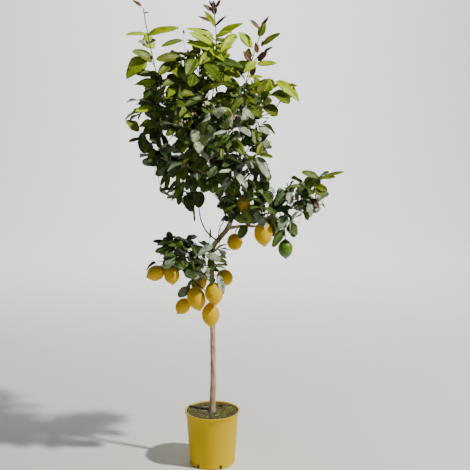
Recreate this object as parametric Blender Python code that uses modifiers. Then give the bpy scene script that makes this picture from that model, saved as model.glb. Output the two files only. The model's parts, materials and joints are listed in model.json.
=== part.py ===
"""Potted lemon tree, in metres, +Z up, with the origin at the middle of the pot's flat underside.

Trunk and boughs are tapered tubes. Each mass of foliage is one closed solid: a stem that goes on from
its bough, twigs that leave the stem by a seeded rule, leaves along the twigs, and lemons on stalks.
"""

import math
import random
from collections import namedtuple

import bmesh
import bpy
from mathutils import Matrix, Vector
from mathutils.bvhtree import BVHTree

# Pot
RIM_D = 0.2055
POT_H = 0.202
LIP_H = 0.006
LIP_OUT = 0.006
LIP_TOP = 0.0055
BASE_D = 0.169
CORNER_R = 0.008
WALL_T = 0.002
FLOOR_LIFT = 0.0195
PAD_R = 0.058
PAD_SLOPE = 0.004
SLOT_COUNT = 6
SLOT_W = 0.0105
SLOT_H = 0.017
SLOT_TURN_DEG = -67.3
SLOT_DEPTH = 0.016
SLOT_UNDER = 0.004
TURN_STEPS = 36

# Compost
SOIL_Z = 0.1985

# Clearance between neighbouring solids, and the extra room that leaves keep from limbs
GAP = 0.0003
LIMB_ROOM = 0.0012

# Trunk: each bend's place, and the radius there
TRUNK_FORM = [
    ((0.001, 0.000, SOIL_Z + GAP), 0.0152),
    ((0.001, 0.000, SOIL_Z + 0.007), 0.0134),
    ((0.001, 0.001, 0.230), 0.0114),
    ((0.004, 0.002, 0.330), 0.0102),
    ((0.003, -0.002, 0.470), 0.0096),
    ((0.002, -0.003, 0.660), 0.0092),
    ((0.000, 0.000, 0.770), 0.0090),
    ((0.007, 0.001, 0.820), 0.0092),
    ((0.032, 0.002, 0.853), 0.0088),
    ((0.058, 0.000, 0.886), 0.0088),
    ((0.071, -0.003, 0.925), 0.0088),
    ((0.070, -0.005, 0.975), 0.0082),
    ((0.053, -0.003, 1.018), 0.0072),
    ((0.035, 0.001, 1.056), 0.0064),
    ((0.021, 0.004, 1.100), 0.0056),
]
TRUNK_SIDES = 10
TRUNK_STEP = 0.032
BOUGH_SIDES = 6
BOUGH_STEP = 0.030

# A bough leaves its parent where that is nearest to a height or, on another bough, at a share of it
Bough = namedtuple("Bough", "name parent at reach bow radii")
BOUGHS = [
    Bough("bough_low_left", "trunk", 0.800, (-0.050, -0.022, -0.004), (0, 0, 0.006), (0.0042, 0.0030)),
    Bough("bough_low_front", "trunk", 0.770, (-0.006, -0.034, -0.006), (0, 0, 0.003), (0.0040, 0.0034)),
    Bough("bough_arch_left", "trunk", 0.842,
          (-0.066, -0.026, 0.122), (-0.014, 0, -0.014), (0.0028, 0.0019)),
    Bough("bough_arch_mid", "trunk", 0.846,
          (0.016, -0.024, 0.066), (-0.006, -0.004, 0.002), (0.0021, 0.0015)),
    Bough("bough_right_arm", "trunk", 0.886, (0.094, -0.030, 0.012), (0, 0, 0.004), (0.0062, 0.0042)),
    Bough("bough_right_out", "bough_right_arm", 0.72,
          (0.098, 0.004, 0.052), (0, 0, 0.010), (0.0036, 0.0026)),
    Bough("bough_neck_right", "trunk", 0.950,
          (0.034, 0.016, 0.044), (0.004, 0, -0.006), (0.0036, 0.0028)),
    Bough("bough_left", "trunk", 1.040, (-0.118, -0.020, 0.066), (0, 0, 0.012), (0.0046, 0.0030)),
    Bough("bough_front", "trunk", 1.064, (-0.028, -0.088, 0.058), (0, 0, 0.010), (0.0042, 0.0030)),
    Bough("bough_back", "trunk", 1.052, (-0.030, 0.098, 0.052), (0, 0, 0.010), (0.0044, 0.0030)),
    Bough("bough_right", "trunk", 1.024, (0.058, -0.022, 0.080), (0.010, 0, 0), (0.0046, 0.0030)),
    Bough("leader", "trunk", 1.092, (-0.034, 0.004, 0.196), (0.008, 0, 0), (0.0048, 0.0032)),
    Bough("bough_left_high", "leader", 0.34,
          (-0.088, -0.012, 0.088), (-0.006, 0, 0.002), (0.0034, 0.0024)),
    Bough("bough_right_high", "leader", 0.46,
          (0.084, -0.026, 0.084), (0.006, 0, 0.002), (0.0034, 0.0024)),
    Bough("bough_back_high", "leader", 0.58,
          (-0.006, 0.082, 0.060), (0, 0.004, 0.004), (0.0032, 0.0024)),
    Bough("bough_front_high", "leader", 0.72, (-0.016, -0.060, 0.044), (0, 0, 0.004), (0.0030, 0.0024)),
    Bough("bough_shoot_left", "bough_left_high", 0.62,
          (-0.143, -0.012, 0.203), (-0.022, 0, -0.014), (0.0024, 0.0017)),
    Bough("bough_shoot_right", "bough_right_high", 0.60,
          (0.040, -0.006, 0.112), (0.006, 0, 0), (0.0022, 0.0017)),
    Bough("bough_spray_right", "bough_right_high", 0.84,
          (0.096, 0.006, 0.034), (0, 0, 0.006), (0.0021, 0.0016)),
    Bough("bough_shoot_centre", "leader", 0.93,
          (0.026, -0.004, 0.220), (0.004, 0, 0), (0.0024, 0.0017)),
]

# A mass fills its own rounded box, as far as no neighbour's middle is nearer in proportion. Its stem runs
# past the middle by a share of the way there, and is bare up to a share of its length
Mass = namedtuple("Mass", "name bough centre radii run bare twigs leaves size droop young seed")
MASSES = [
    Mass("foliage_left_low", "bough_left", (-0.150, -0.030, 1.135), (0.160, 0.155, 0.135),
         0.35, 0.5, 8, 31, 0.100, 0.50, 0, 11),
    Mass("foliage_front_low", "bough_front", (-0.020, -0.135, 1.165), (0.140, 0.130, 0.130),
         0.25, 0.5, 7, 29, 0.100, 0.55, 0, 12),
    Mass("foliage_right_low", "bough_right", (0.105, -0.045, 1.130), (0.145, 0.155, 0.120),
         0.35, 0.5, 8, 31, 0.100, 0.48, 0, 13),
    Mass("foliage_back_low", "bough_back", (-0.020, 0.130, 1.160), (0.185, 0.145, 0.130),
         0.25, 0.5, 8, 31, 0.100, 0.50, 0, 14),
    Mass("foliage_left_high", "bough_left_high", (-0.150, -0.020, 1.315), (0.155, 0.155, 0.125),
         0.30, 0.5, 8, 31, 0.100, 0.30, 0, 15),
    Mass("foliage_front_high", "bough_front_high", (-0.025, -0.125, 1.365), (0.145, 0.135, 0.125),
         0.20, 0.5, 7, 29, 0.100, 0.30, 0, 16),
    Mass("foliage_right_high", "bough_right_high", (0.105, -0.035, 1.310), (0.150, 0.155, 0.125),
         0.30, 0.5, 8, 31, 0.100, 0.30, 0, 17),
    Mass("foliage_back_high", "bough_back_high", (-0.025, 0.120, 1.350), (0.180, 0.145, 0.135),
         0.25, 0.5, 8, 31, 0.100, 0.30, 0, 18),
    Mass("foliage_crown_top", "leader", (-0.035, -0.005, 1.465), (0.165, 0.155, 0.110),
         0.30, 0.4, 8, 29, 0.102, 0.10, 0.3, 19),
    Mass("foliage_tail_left", "bough_arch_left", (-0.092, -0.035, 1.015), (0.110, 0.105, 0.105),
         0.40, 0.3, 5, 19, 0.092, 0.80, 0, 20),
    Mass("foliage_tail_mid", "bough_arch_mid", (0.024, -0.066, 0.985), (0.080, 0.075, 0.090),
         0.50, 0.3, 3, 10, 0.076, 0.60, 0, 21),
    Mass("foliage_tail_right", "bough_neck_right", (0.135, -0.025, 1.005), (0.100, 0.115, 0.095),
         0.40, 0.3, 5, 18, 0.086, 0.50, 0, 22),
    Mass("foliage_right_inner", "bough_right_arm", (0.190, -0.045, 0.935), (0.100, 0.105, 0.110),
         0.35, 0.3, 5, 18, 0.092, 0.50, 0, 23),
    Mass("foliage_right_outer", "bough_right_out", (0.335, -0.030, 0.985), (0.140, 0.110, 0.120),
         0.45, 0.3, 7, 24, 0.092, 0.25, 0, 24),
    Mass("foliage_low_left", "bough_low_left", (-0.118, -0.035, 0.785), (0.130, 0.105, 0.095),
         0.50, 0.3, 7, 26, 0.090, 0.55, 0, 25),
    Mass("foliage_low_front", "bough_low_front", (-0.014, -0.062, 0.740), (0.115, 0.105, 0.125),
         0.45, 0.3, 8, 26, 0.076, 0.45, 0, 26),
    Mass("shoot_left", "bough_shoot_left", (-0.210, -0.022, 1.552), (0.125, 0.100, 0.160),
         0.78, 0.1, 2, 14, 0.096, 0.00, 0.9, 27),
    Mass("shoot_centre", "bough_shoot_centre", (0.014, -0.002, 1.595), (0.155, 0.125, 0.105),
         0.55, 0.1, 5, 21, 0.100, 0.00, 1.0, 28),
    Mass("shoot_right", "bough_shoot_right", (0.156, -0.032, 1.505), (0.110, 0.105, 0.140),
         0.60, 0.1, 4, 18, 0.086, -0.05, 0.9, 29),
    Mass("spray_right", "bough_spray_right", (0.240, -0.022, 1.355), (0.105, 0.100, 0.100),
         0.30, 0.1, 3, 11, 0.094, 0.40, 0.6, 30),
]

# A lemon: its middle, the way its tip points, its width and its length
Fruit = namedtuple("Fruit", "mass middle tip width length ripe")
FRUIT = [
    Fruit("foliage_low_front", (-0.053, -0.062, 0.641), (0.26, -0.10, -1.0), 0.063, 0.088, True),
    Fruit("foliage_low_front", (0.010, -0.078, 0.664), (0.18, -0.55, -0.9), 0.061, 0.084, True),
    Fruit("foliage_low_front", (-0.003, -0.050, 0.578), (0.04, -0.06, -1.0), 0.061, 0.088, True),
    Fruit("foliage_low_front", (-0.104, -0.034, 0.606), (-0.55, 0.00, -0.8), 0.050, 0.066, True),
    Fruit("foliage_low_front", (-0.047, -0.012, 0.690), (-0.20, 0.10, -1.0), 0.055, 0.070, True),
    Fruit("foliage_low_front", (0.048, -0.018, 0.708), (0.50, -0.70, -0.50), 0.056, 0.068, True),
    Fruit("foliage_low_left", (-0.199, -0.055, 0.733), (-0.90, -0.15, -0.40), 0.054, 0.068, True),
    Fruit("foliage_low_left", (-0.140, -0.068, 0.728), (0.10, -0.25, -1.0), 0.053, 0.068, True),
    Fruit("foliage_right_inner", (0.084, -0.036, 0.842), (0.05, -0.85, -0.55), 0.054, 0.068, True),
    Fruit("foliage_tail_right", (0.114, -0.038, 0.976), (0.15, -0.20, -1.0), 0.050, 0.064, True),
    Fruit("foliage_right_inner", (0.184, -0.085, 0.880), (0.10, -0.10, -1.0), 0.062, 0.088, True),
    Fruit("foliage_right_outer", (0.264, -0.052, 0.820), (0.02, 0.00, -1.0), 0.050, 0.068, False),
]

# Twigs and leaves
GOLDEN = math.radians(137.5)
TWIG_R = (0.0018, 0.0013)
TWIG_REACH = (0.46, 0.64)
FIRST_LEAF = 0.22
LEAF_TRIES = 24
LEAF_WIDTH = 0.60
LEAF_KEEL = 0.045
LEAF_HANG = 0.9
BOXY = 2.8
SPACE_MARGIN = 0.010
STEM_STRAIGHT = 0.006
STALK_R = 0.0018
FRUIT_SINK = 0.006

UP = Vector((0, 0, 1))


def bezier(start, bend, end, share):
    """A point of the quadratic curve from start to end that is drawn towards bend."""
    rest = 1 - share
    return start * rest * rest + bend * 2 * rest * share + end * share * share


def curve_points(start, bend, end, count):
    return [bezier(start, bend, end, i / (count - 1)) for i in range(count)]


def spline_through(form, step):
    """Points and radii along the smooth curve through a limb's bends, about step apart."""
    places = [Vector(place) for place, _ in form]
    radii = [radius for _, radius in form]
    points, widths = [], []
    for i in range(len(places) - 1):
        before = places[max(i - 1, 0)]
        here, ahead = places[i], places[i + 1]
        after = places[min(i + 2, len(places) - 1)]
        pieces = max(1, round((ahead - here).length / step))
        for k in range(pieces):
            t = k / pieces
            points.append(
                0.5
                * (
                    2 * here
                    + (ahead - before) * t
                    + (2 * before - 5 * here + 4 * ahead - after) * t * t
                    + (3 * here - before - 3 * ahead + after) * t * t * t
                )
            )
            widths.append(radii[i] + (radii[i + 1] - radii[i]) * t)
    return points + [places[-1]], widths + [radii[-1]]


def point_at(path, share):
    """The point at a share of a path's points, and the path's direction there."""
    spot = min(max(share, 0.0), 1.0) * (len(path) - 1)
    i = min(int(spot), len(path) - 2)
    along = path[i + 1] - path[i]
    return path[i] + along * (spot - i), along.normalized()


def side_of(direction):
    """A unit vector square to direction."""
    other = Vector((1, 0, 0)) if abs(direction.x) < 0.8 else Vector((0, 1, 0))
    return direction.cross(other).normalized()


def tube_mesh(path, radii, sides, room):
    """The corners and faces of a tube round a path, room wider than its radii."""
    corners, faces = [], []
    for i, (point, radius) in enumerate(zip(path, radii)):
        _, along = point_at(path, i / (len(path) - 1))
        side = side_of(along)
        other = along.cross(side)
        for k in range(sides):
            turn = 2 * math.pi * k / sides
            corners.append(point + (side * math.cos(turn) + other * math.sin(turn)) * (radius + room))
        if i:
            first, second = (i - 1) * sides, i * sides
            for k in range(sides):
                after = (k + 1) % sides
                faces.append((first + k, first + after, second + after, second + k))
    last = len(corners) - sides
    return corners, faces + [tuple(range(sides)), tuple(range(last, last + sides))]


def tree_of(meshes):
    """One search tree over several lists of corners and faces."""
    corners, faces = [], []
    for places, sides in meshes:
        faces += [tuple(len(corners) + i for i in face) for face in sides]
        corners += places
    return BVHTree.FromPolygons(corners, faces)


def limb_paths():
    """Each limb's name with its points and radii, the trunk first."""
    limbs = {"trunk": spline_through(TRUNK_FORM, TRUNK_STEP)}
    for bough in BOUGHS:
        path, _ = limbs[bough.parent]
        if bough.parent == "trunk":
            start = min(dense(path), key=lambda p: abs(p.z - bough.at))
        else:
            start, _ = point_at(path, bough.at)
        end = start + Vector(bough.reach)
        bend = (start + end) / 2 + 2 * Vector(bough.bow)
        count = max(4, round(Vector(bough.reach).length / BOUGH_STEP) + 1)
        thick, thin = bough.radii
        radii = [thick + (thin - thick) * i / (count - 1) for i in range(count)]
        limbs[bough.name] = (curve_points(start, bend, end, count), radii)
    return limbs


def dense(path, pieces=8):
    for i in range(len(path) - 1):
        for k in range(pieces):
            yield path[i].lerp(path[i + 1], k / pieces)


def scaled_distance(mass, point):
    """How far a point is from a mass's middle, as a share of the way to the edge of its rounded box."""
    return sum(abs((p - c) / r) ** BOXY for p, c, r in zip(point, mass.centre, mass.radii)) ** (1 / BOXY)


def in_space(mass, point):
    own = scaled_distance(mass, point)
    if own > 1.0:
        return False
    return all(own + SPACE_MARGIN < scaled_distance(other, point) for other in MASSES if other is not mass)


def leaf_frame(root, direction, face, length):
    """The matrix that carries a leaf from its own axes, along +Y with its face up, to its place."""
    along = direction.normalized()
    across = along.cross(face).normalized()
    up = across.cross(along)
    turned_to = Matrix((across, along, up)).transposed().to_4x4()
    return Matrix.Translation(root) @ turned_to @ Matrix.Scale(length, 4)


# A leaf's outline, as shares of its length: how far along, and half the width there
LEAF_ROWS = ((0.32, 0.48 * LEAF_WIDTH), (0.68, 0.44 * LEAF_WIDTH))


def leaf_corners(frame, start=0.0):
    """The root, two corners in each row, and the tip. A start past 0 leaves the root end out."""
    local = [(0, start, 0)]
    for along, half in LEAF_ROWS:
        local += [(-half, along, LEAF_KEEL), (half, along, LEAF_KEEL)]
    return [frame @ Vector(place) for place in local + [(0, 1, 0)]]


LEAF_FACES = [(0, 2, 1), (1, 2, 4, 3), (3, 4, 5), (0, 1, 3), (0, 3, 5), (0, 4, 2), (0, 5, 4)]
OUTER_START = 0.16


def ball_mesh(fruit, room=0.0, around=8, rings=5):
    """The corners and faces of a lemon: a pole at its stalk, rings, and a pole at its drawn-out tip."""
    tip = Vector(fruit.tip).normalized()
    side = side_of(tip)
    other = tip.cross(side)
    middle = Vector(fruit.middle)
    half = fruit.length / 2 + room
    corners = [middle - tip * half]
    for i in range(1, rings):
        turn = math.pi * i / rings
        across = (fruit.width / 2 + room) * math.sin(turn) ** (0.8 if i < rings / 2 else 1.15)
        centre = middle - tip * half * math.cos(turn) * (0.94 if i > rings / 2 else 1.0)
        for k in range(around):
            spin = 2 * math.pi * k / around
            corners.append(centre + (side * math.cos(spin) + other * math.sin(spin)) * across)
    corners.append(middle + tip * half)
    faces = []
    for k in range(around):
        after = (k + 1) % around
        faces.append((0, 1 + after, 1 + k))
        for i in range(rings - 2):
            low, high = 1 + i * around, 1 + (i + 1) * around
            faces.append((low + k, low + after, high + after, high + k))
        last = 1 + (rings - 2) * around
        faces.append((last + k, last + after, len(corners) - 1))
    return corners, faces


def mass_stem(mass, limbs):
    """The stem's points, from just clear of its bough's tip to past the mass's middle, and its radii."""
    path, radii = limbs[mass.bough]
    _, along = point_at(path, 1.0)
    start = path[-1] + along * GAP
    first = start + along * STEM_STRAIGHT
    centre = Vector(mass.centre)
    end = centre + (centre - start) * mass.run
    bend = first + along * (end - first).length * 0.4
    points = [start] + curve_points(first, bend, end, 5)
    thin = TWIG_R[0] * 1.1
    return points, [radii[-1] + (thin - radii[-1]) * i / 5 for i in range(6)]


def twig_end(mass, way, reach):
    """The furthest place in a direction from the mass's middle that is still its own, or None."""
    while reach > 0.2:
        place = Vector(c + r * w * reach for c, r, w in zip(mass.centre, mass.radii, way))
        if in_space(mass, place):
            return place
        reach -= 0.08
    return None


def mass_twigs(mass, stem, others, rng):
    """Twigs from the stem to places spread evenly round the mass, where nothing else is in the way."""
    twigs = []
    for k in range(mass.twigs):
        height = 1 - 2 * (k + 0.5) / mass.twigs
        turn = k * GOLDEN + mass.seed
        flat = math.sqrt(1 - height * height)
        way = Vector((flat * math.cos(turn), flat * math.sin(turn), height))
        end = twig_end(mass, way, rng.uniform(*TWIG_REACH))
        if end is None:
            continue
        nearest = min(range(17), key=lambda i: (point_at(stem, i / 16)[0] - end).length)
        for back in (0.22, 0.34, 0.10, 0.46):
            start, along = point_at(stem, min(0.96, max(0.24, nearest / 16 - back)))
            span = (end - start).length
            bend = start.lerp(end, 0.5) + along * span * 0.20 + UP * span * (0.12 - 0.10 * mass.droop)
            path = curve_points(start, bend, end, 3)
            clear = not tree_of([tube_mesh(path, [TWIG_R[0]] * 3, 3, LIMB_ROOM)]).overlap(others)
            if span > 0.03 and clear:
                twigs.append(path)
                break
    return twigs


def leaf_pose(mass, path, share, turn, rng):
    """The way a leaf points and the way its face looks, by where on its twig it is."""
    spot, along = point_at(path, share)
    side = side_of(along)
    other = along.cross(side)
    out = side * math.cos(turn) + other * math.sin(turn)
    angle = math.radians(rng.uniform(50, 80) - 34 * share)
    away = spot - Vector(mass.centre)
    away = away.normalized() if away.length > 0.001 else UP
    way = along * math.cos(angle) + out * math.sin(angle) + away * 0.35
    way -= UP * (mass.droop + rng.uniform(-0.2, 0.2))
    way.normalize()
    face = UP * (1 - LEAF_HANG * 0.5) + away * LEAF_HANG
    face += Vector(rng.uniform(-0.45, 0.45) for _ in range(3))
    return way, face - way * face.dot(way)


def leaf_places(mass, stem, twigs):
    """Each leaf's path and its share along it: the stem's outer part and the twigs share them by length."""
    runs = [(path, FIRST_LEAF) for path in twigs] + [(stem, mass.bare)]
    lengths = [sum((b - a).length for a, b in zip(p, p[1:])) * (1 - first) for p, first in runs]
    for (path, first), length in zip(runs, lengths):
        count = max(2, round(mass.leaves * length / sum(lengths)))
        for i in range(count):
            yield path, 0.98 - (0.98 - first) * i / count, i


def mass_leaves(mass, stem, twigs, others, taken, rng):
    """A leaf's frame for every place along the wood: of the ways that fit, the one with most room."""
    frames, kept = [], []
    own = tree_of([tube_mesh(path, [TWIG_R[0]] * len(path), 3, LIMB_ROOM) for path in twigs + [stem]])
    for path, share, i in leaf_places(mass, stem, twigs):
        best, most = None, 0.0
        for attempt in range(LEAF_TRIES):
            root, _ = point_at(path, share)
            way, face = leaf_pose(mass, path, share, i * GOLDEN + attempt * 1.1, rng)
            size = mass.size * rng.uniform(0.88, 1.12) * (1 - 0.006 * attempt)
            frame = leaf_frame(root, way, face, size)
            middle = frame @ Vector((0, 0.6, 0))
            room = min(((middle - spot).length for spot in taken), default=1.0)
            if room < most or not all(in_space(mass, p) for p in leaf_corners(frame)[1:]):
                continue
            outer = BVHTree.FromPolygons(leaf_corners(frame, OUTER_START), LEAF_FACES)
            near = [tree for spot, reach, tree in kept if (spot - middle).length < reach + size * 0.6]
            if any(outer.overlap(tree) for tree in near + [own]):
                continue
            if not BVHTree.FromPolygons(leaf_corners(frame), LEAF_FACES).overlap(others):
                best, most = (frame, middle, size * 0.6, outer), room
        if best:
            frames.append(best[0])
            taken.append(best[1])
            kept.append(best[1:])
    return frames


def fruit_stalk(fruit, stem, twigs, others):
    """A stalk's points, from the nearest wood with a clear way to just inside the lemon's shoulder."""
    tip = Vector(fruit.tip).normalized()
    top = Vector(fruit.middle) - tip * (fruit.length / 2)
    wood = [p for path in twigs + [stem] for p in list(dense(path, 6))[3:]]
    for start in sorted(wood, key=lambda p: (p - top).length + 2 * max(0, top.z - 0.01 - p.z)):
        for lift in (0.45, 0.25, 0.75):
            bend = top - tip * max(0.010, (start - top).length * lift)
            path = curve_points(start, bend, top + tip * FRUIT_SINK, 4)
            if not tree_of([tube_mesh(path, [STALK_R] * 4, 3, LIMB_ROOM)]).overlap(others):
                return path
    return path


Growth = namedtuple("Growth", "stem radii twigs stalks fruits frames")


def grow(limbs):
    """The stem, twigs, lemons, stalks and leaf frames of every mass."""
    limb_meshes = [tube_mesh(path, radii, 8, LIMB_ROOM) for path, radii in limbs.values()]
    stems = {mass.name: mass_stem(mass, limbs) for mass in MASSES}
    stem_meshes = {name: tube_mesh(*stem, 4, LIMB_ROOM) for name, stem in stems.items()}
    balls = [ball_mesh(fruit, LIMB_ROOM) for fruit in FRUIT]
    found, taken = {}, []
    for mass in MASSES:
        rng = random.Random(mass.seed)
        stem, radii = stems[mass.name]
        others = limb_meshes + [m for name, m in stem_meshes.items() if name != mass.name]
        twigs = mass_twigs(mass, stem, tree_of(others + balls), rng)
        fruits = [fruit for fruit in FRUIT if fruit.mass == mass.name]
        stalks = []
        for fruit in fruits:
            rest = [ball for other, ball in zip(FRUIT, balls) if other is not fruit]
            stalks.append(fruit_stalk(fruit, stem, twigs, tree_of(others + rest)))
        found[mass.name] = Growth(stem, radii, twigs, stalks, fruits, [])
    stalk_paths = [path for growth in found.values() for path in growth.stalks]
    stalk_meshes = [tube_mesh(path, [STALK_R] * len(path), 3, LIMB_ROOM) for path in stalk_paths]
    for mass in MASSES:
        rng = random.Random(mass.seed + 100)
        stem, _, twigs, _, _, frames = found[mass.name]
        others = limb_meshes + balls + stalk_meshes
        others += [m for name, m in stem_meshes.items() if name != mass.name]
        frames.extend(mass_leaves(mass, stem, twigs, tree_of(others), taken, rng))
    return found


def new_collection(name, parent=None):
    made = bpy.data.collections.new(name)
    (parent or bpy.context.scene.collection).children.link(made)
    return made


def material(name, colour, roughness):
    made = bpy.data.materials.new(name)
    made.use_nodes = True
    shader = made.node_tree.nodes["Principled BSDF"]
    shader.inputs["Base Color"].default_value = (*colour, 1)
    shader.inputs["Roughness"].default_value = roughness
    shader.inputs["Metallic"].default_value = 0
    return made


def mesh_object(name, mesh, collection, finish):
    mesh.materials.append(finish)
    made = bpy.data.objects.new(name, mesh)
    collection.objects.link(made)
    return made


def guide(obj):
    """Marks a cutter or a profile, which isn't part of the object."""
    obj.hide_render = True
    obj.display_type = "WIRE"
    return obj


def section_ring(sides, helpers):
    """The closed outline, one metre in radius, that a tube of so many sides is swept from."""
    name = f"section_{sides}"
    if name in bpy.data.objects:
        return bpy.data.objects[name]
    outline = bpy.data.curves.new(name, "CURVE")
    outline.dimensions = "2D"
    spline = outline.splines.new("POLY")
    spline.points.add(sides - 1)
    for k, point in enumerate(spline.points):
        turn = 2 * math.pi * k / sides
        point.co = (math.cos(turn), math.sin(turn), 0, 1)
    spline.use_cyclic_u = True
    made = guide(bpy.data.objects.new(name, outline))
    helpers.objects.link(made)
    return made


def tube(name, path, radii, sides, collection, helpers, finish):
    """A tapered tube along a path, made from a curve and closed by flat caps."""
    line = bpy.data.curves.new(name + "_line", "CURVE")
    line.dimensions = "3D"
    line.bevel_mode = "OBJECT"
    line.bevel_object = section_ring(sides, helpers)
    line.use_fill_caps = True
    spline = line.splines.new("POLY")
    spline.points.add(len(path) - 1)
    for point, place, radius in zip(spline.points, path, radii):
        point.co = (*place, 1)
        point.radius = radius
    swept = bpy.data.objects.new(name + "_line", line)
    helpers.objects.link(swept)
    bpy.context.view_layer.update()
    graph = bpy.context.evaluated_depsgraph_get()
    mesh = bpy.data.meshes.new_from_object(swept.evaluated_get(graph))
    bpy.data.objects.remove(swept)
    form = bmesh.new()
    form.from_mesh(mesh)
    bmesh.ops.remove_doubles(form, verts=form.verts, dist=0.00002)
    bmesh.ops.recalc_face_normals(form, faces=form.faces)
    form.to_mesh(mesh)
    form.free()
    mesh.name = name
    mesh.materials.clear()
    return mesh_object(name, mesh, collection, finish)


def boolean(obj, operation, other):
    """Cuts obj by an object, or joins a collection to it, and keeps the result as obj's own mesh."""
    modifier = obj.modifiers.new(operation.lower(), "BOOLEAN")
    modifier.operation = operation
    modifier.solver = "EXACT"
    modifier.material_mode = "TRANSFER"
    if isinstance(other, bpy.types.Collection):
        modifier.operand_type = "COLLECTION"
        modifier.collection = other
    else:
        modifier.object = other
    bpy.context.view_layer.update()
    graph = bpy.context.evaluated_depsgraph_get()
    mesh = bpy.data.meshes.new_from_object(obj.evaluated_get(graph))
    obj.modifiers.clear()
    obj.data = mesh


def keep_largest(obj):
    """Drops loose scraps, so that one closed body is left."""
    form = bmesh.new()
    form.from_mesh(obj.data)
    left, parts = set(form.verts), []
    while left:
        reached, edge = {left.pop()}, []
        edge.extend(reached)
        while edge:
            for joined in edge.pop().link_edges:
                for corner in joined.verts:
                    if corner not in reached:
                        reached.add(corner)
                        edge.append(corner)
        left -= reached
        parts.append(reached)
    parts.sort(key=len)
    bmesh.ops.delete(form, geom=[v for part in parts[:-1] for v in part], context="VERTS")
    form.to_mesh(obj.data)
    form.free()


def turned(name, outline, collection, finish):
    """A body turned about the Z axis from an outline that runs down its outer side."""
    mesh = bpy.data.meshes.new(name)
    mesh.from_pydata([(r, 0, z) for r, z in outline], [(i, i + 1) for i in range(len(outline) - 1)], [])
    made = mesh_object(name, mesh, collection, finish)
    screw = made.modifiers.new("turn", "SCREW")
    screw.steps = screw.render_steps = TURN_STEPS
    screw.use_merge_vertices = True
    screw.merge_threshold = 0.00005
    screw.use_smooth_shade = True
    return made


def wall_radius(z):
    """The pot's outer radius under its lip, which narrows evenly down to the base corner."""
    top = POT_H - LIP_H
    upper, lower = RIM_D / 2 - LIP_OUT, BASE_D / 2
    return lower + (upper - lower) * (z - CORNER_R) / (top - CORNER_R)


def inner_radius(z):
    """The pot's inner radius, which opens out at the lip."""
    lip_z = POT_H - LIP_H
    if z < lip_z:
        return wall_radius(z) - WALL_T
    low = wall_radius(lip_z) - WALL_T
    return low + (RIM_D / 2 - LIP_TOP - low) * (z - lip_z) / LIP_H


def pot(collection, helpers, finish):
    inner_low, lip_z = FLOOR_LIFT + WALL_T, POT_H - LIP_H
    base = wall_radius(CORNER_R)
    corner = [
        (base - CORNER_R * (1 - math.cos(turn)) * 0.6, CORNER_R * (1 - math.sin(turn)))
        for turn in (0.0, 0.6, 1.1, math.pi / 2)
    ]
    inside = [
        (0, WALL_T),
        (PAD_R - WALL_T, WALL_T),
        (PAD_R + PAD_SLOPE - WALL_T, inner_low),
        (inner_radius(inner_low), inner_low),
        (inner_radius(lip_z), lip_z),
        (inner_radius(POT_H), POT_H),
    ]
    lip = [
        (RIM_D / 2 - 0.0015, POT_H),
        (RIM_D / 2, POT_H - 0.0015),
        (RIM_D / 2, lip_z + 0.001),
        (RIM_D / 2 - 0.001, lip_z),
        (wall_radius(lip_z), lip_z - 0.0005),
    ]
    under = [
        (corner[-1][0] - WALL_T, 0),
        (corner[-1][0] - WALL_T, FLOOR_LIFT),
        (PAD_R + PAD_SLOPE, FLOOR_LIFT),
        (PAD_R, 0),
        (0, 0),
    ]
    made = turned("pot", inside + lip + corner + under, collection, finish)
    for k in range(SLOT_COUNT):
        turn = math.radians(SLOT_TURN_DEG + k * 360 / SLOT_COUNT)
        way = Vector((math.cos(turn), math.sin(turn), 0))
        mesh = bpy.data.meshes.new(f"slot_{k + 1}")
        form = bmesh.new()
        bmesh.ops.create_cube(form, size=1)
        bmesh.ops.scale(form, vec=(SLOT_DEPTH, SLOT_W, SLOT_H + SLOT_UNDER), verts=form.verts)
        form.to_mesh(mesh)
        form.free()
        cutter = guide(bpy.data.objects.new(f"slot_{k + 1}", mesh))
        cutter.location = way * (BASE_D / 2 - 0.001) + UP * ((SLOT_H - SLOT_UNDER) / 2)
        cutter.rotation_euler = (0, 0, turn)
        helpers.objects.link(cutter)
        cut = made.modifiers.new(f"slot_{k + 1}", "BOOLEAN")
        cut.operation = "DIFFERENCE"
        cut.object = cutter
    return made


def soil(collection, finish):
    low, edge, lip_z = FLOOR_LIFT + WALL_T + GAP, WALL_T + GAP, POT_H - LIP_H
    outline = [
        (0, SOIL_Z),
        (inner_radius(SOIL_Z) - GAP, SOIL_Z),
        (inner_radius(lip_z) - GAP, lip_z),
        (inner_radius(low) - GAP, low),
        (PAD_R + PAD_SLOPE - edge, low),
        (PAD_R - edge, edge),
        (0, edge),
    ]
    return turned("compost", outline, collection, finish)


def limbs_made(limbs, collection, helpers, finish):
    """The trunk and the boughs, each cut clear of the limb that carries it."""
    for name, (path, radii) in limbs.items():
        sides = TRUNK_SIDES if name == "trunk" else BOUGH_SIDES
        tube(name, path, radii, sides, collection, helpers, finish)
    for bough in BOUGHS:
        path, radii = limbs[bough.parent]
        sides = TRUNK_SIDES if bough.parent == "trunk" else BOUGH_SIDES
        wider = [radius + GAP / math.cos(math.pi / sides) for radius in radii]
        cutter = tube(bough.name + "_seat", path, wider, sides, helpers, helpers, finish)
        made = bpy.data.objects[bough.name]
        boolean(made, "DIFFERENCE", cutter)
        bpy.data.objects.remove(cutter)
        keep_largest(made)


def leaf(name, frame, collection, finish):
    """A leaf: a block drawn to a point at both ends, flat on top, with a keel underneath."""
    form = bmesh.new()
    for place in leaf_corners(frame):
        form.verts.new(place)
    bmesh.ops.convex_hull(form, input=form.verts)
    bmesh.ops.recalc_face_normals(form, faces=form.faces)
    mesh = bpy.data.meshes.new(name)
    form.to_mesh(mesh)
    form.free()
    return mesh_object(name, mesh, collection, finish)


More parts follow.
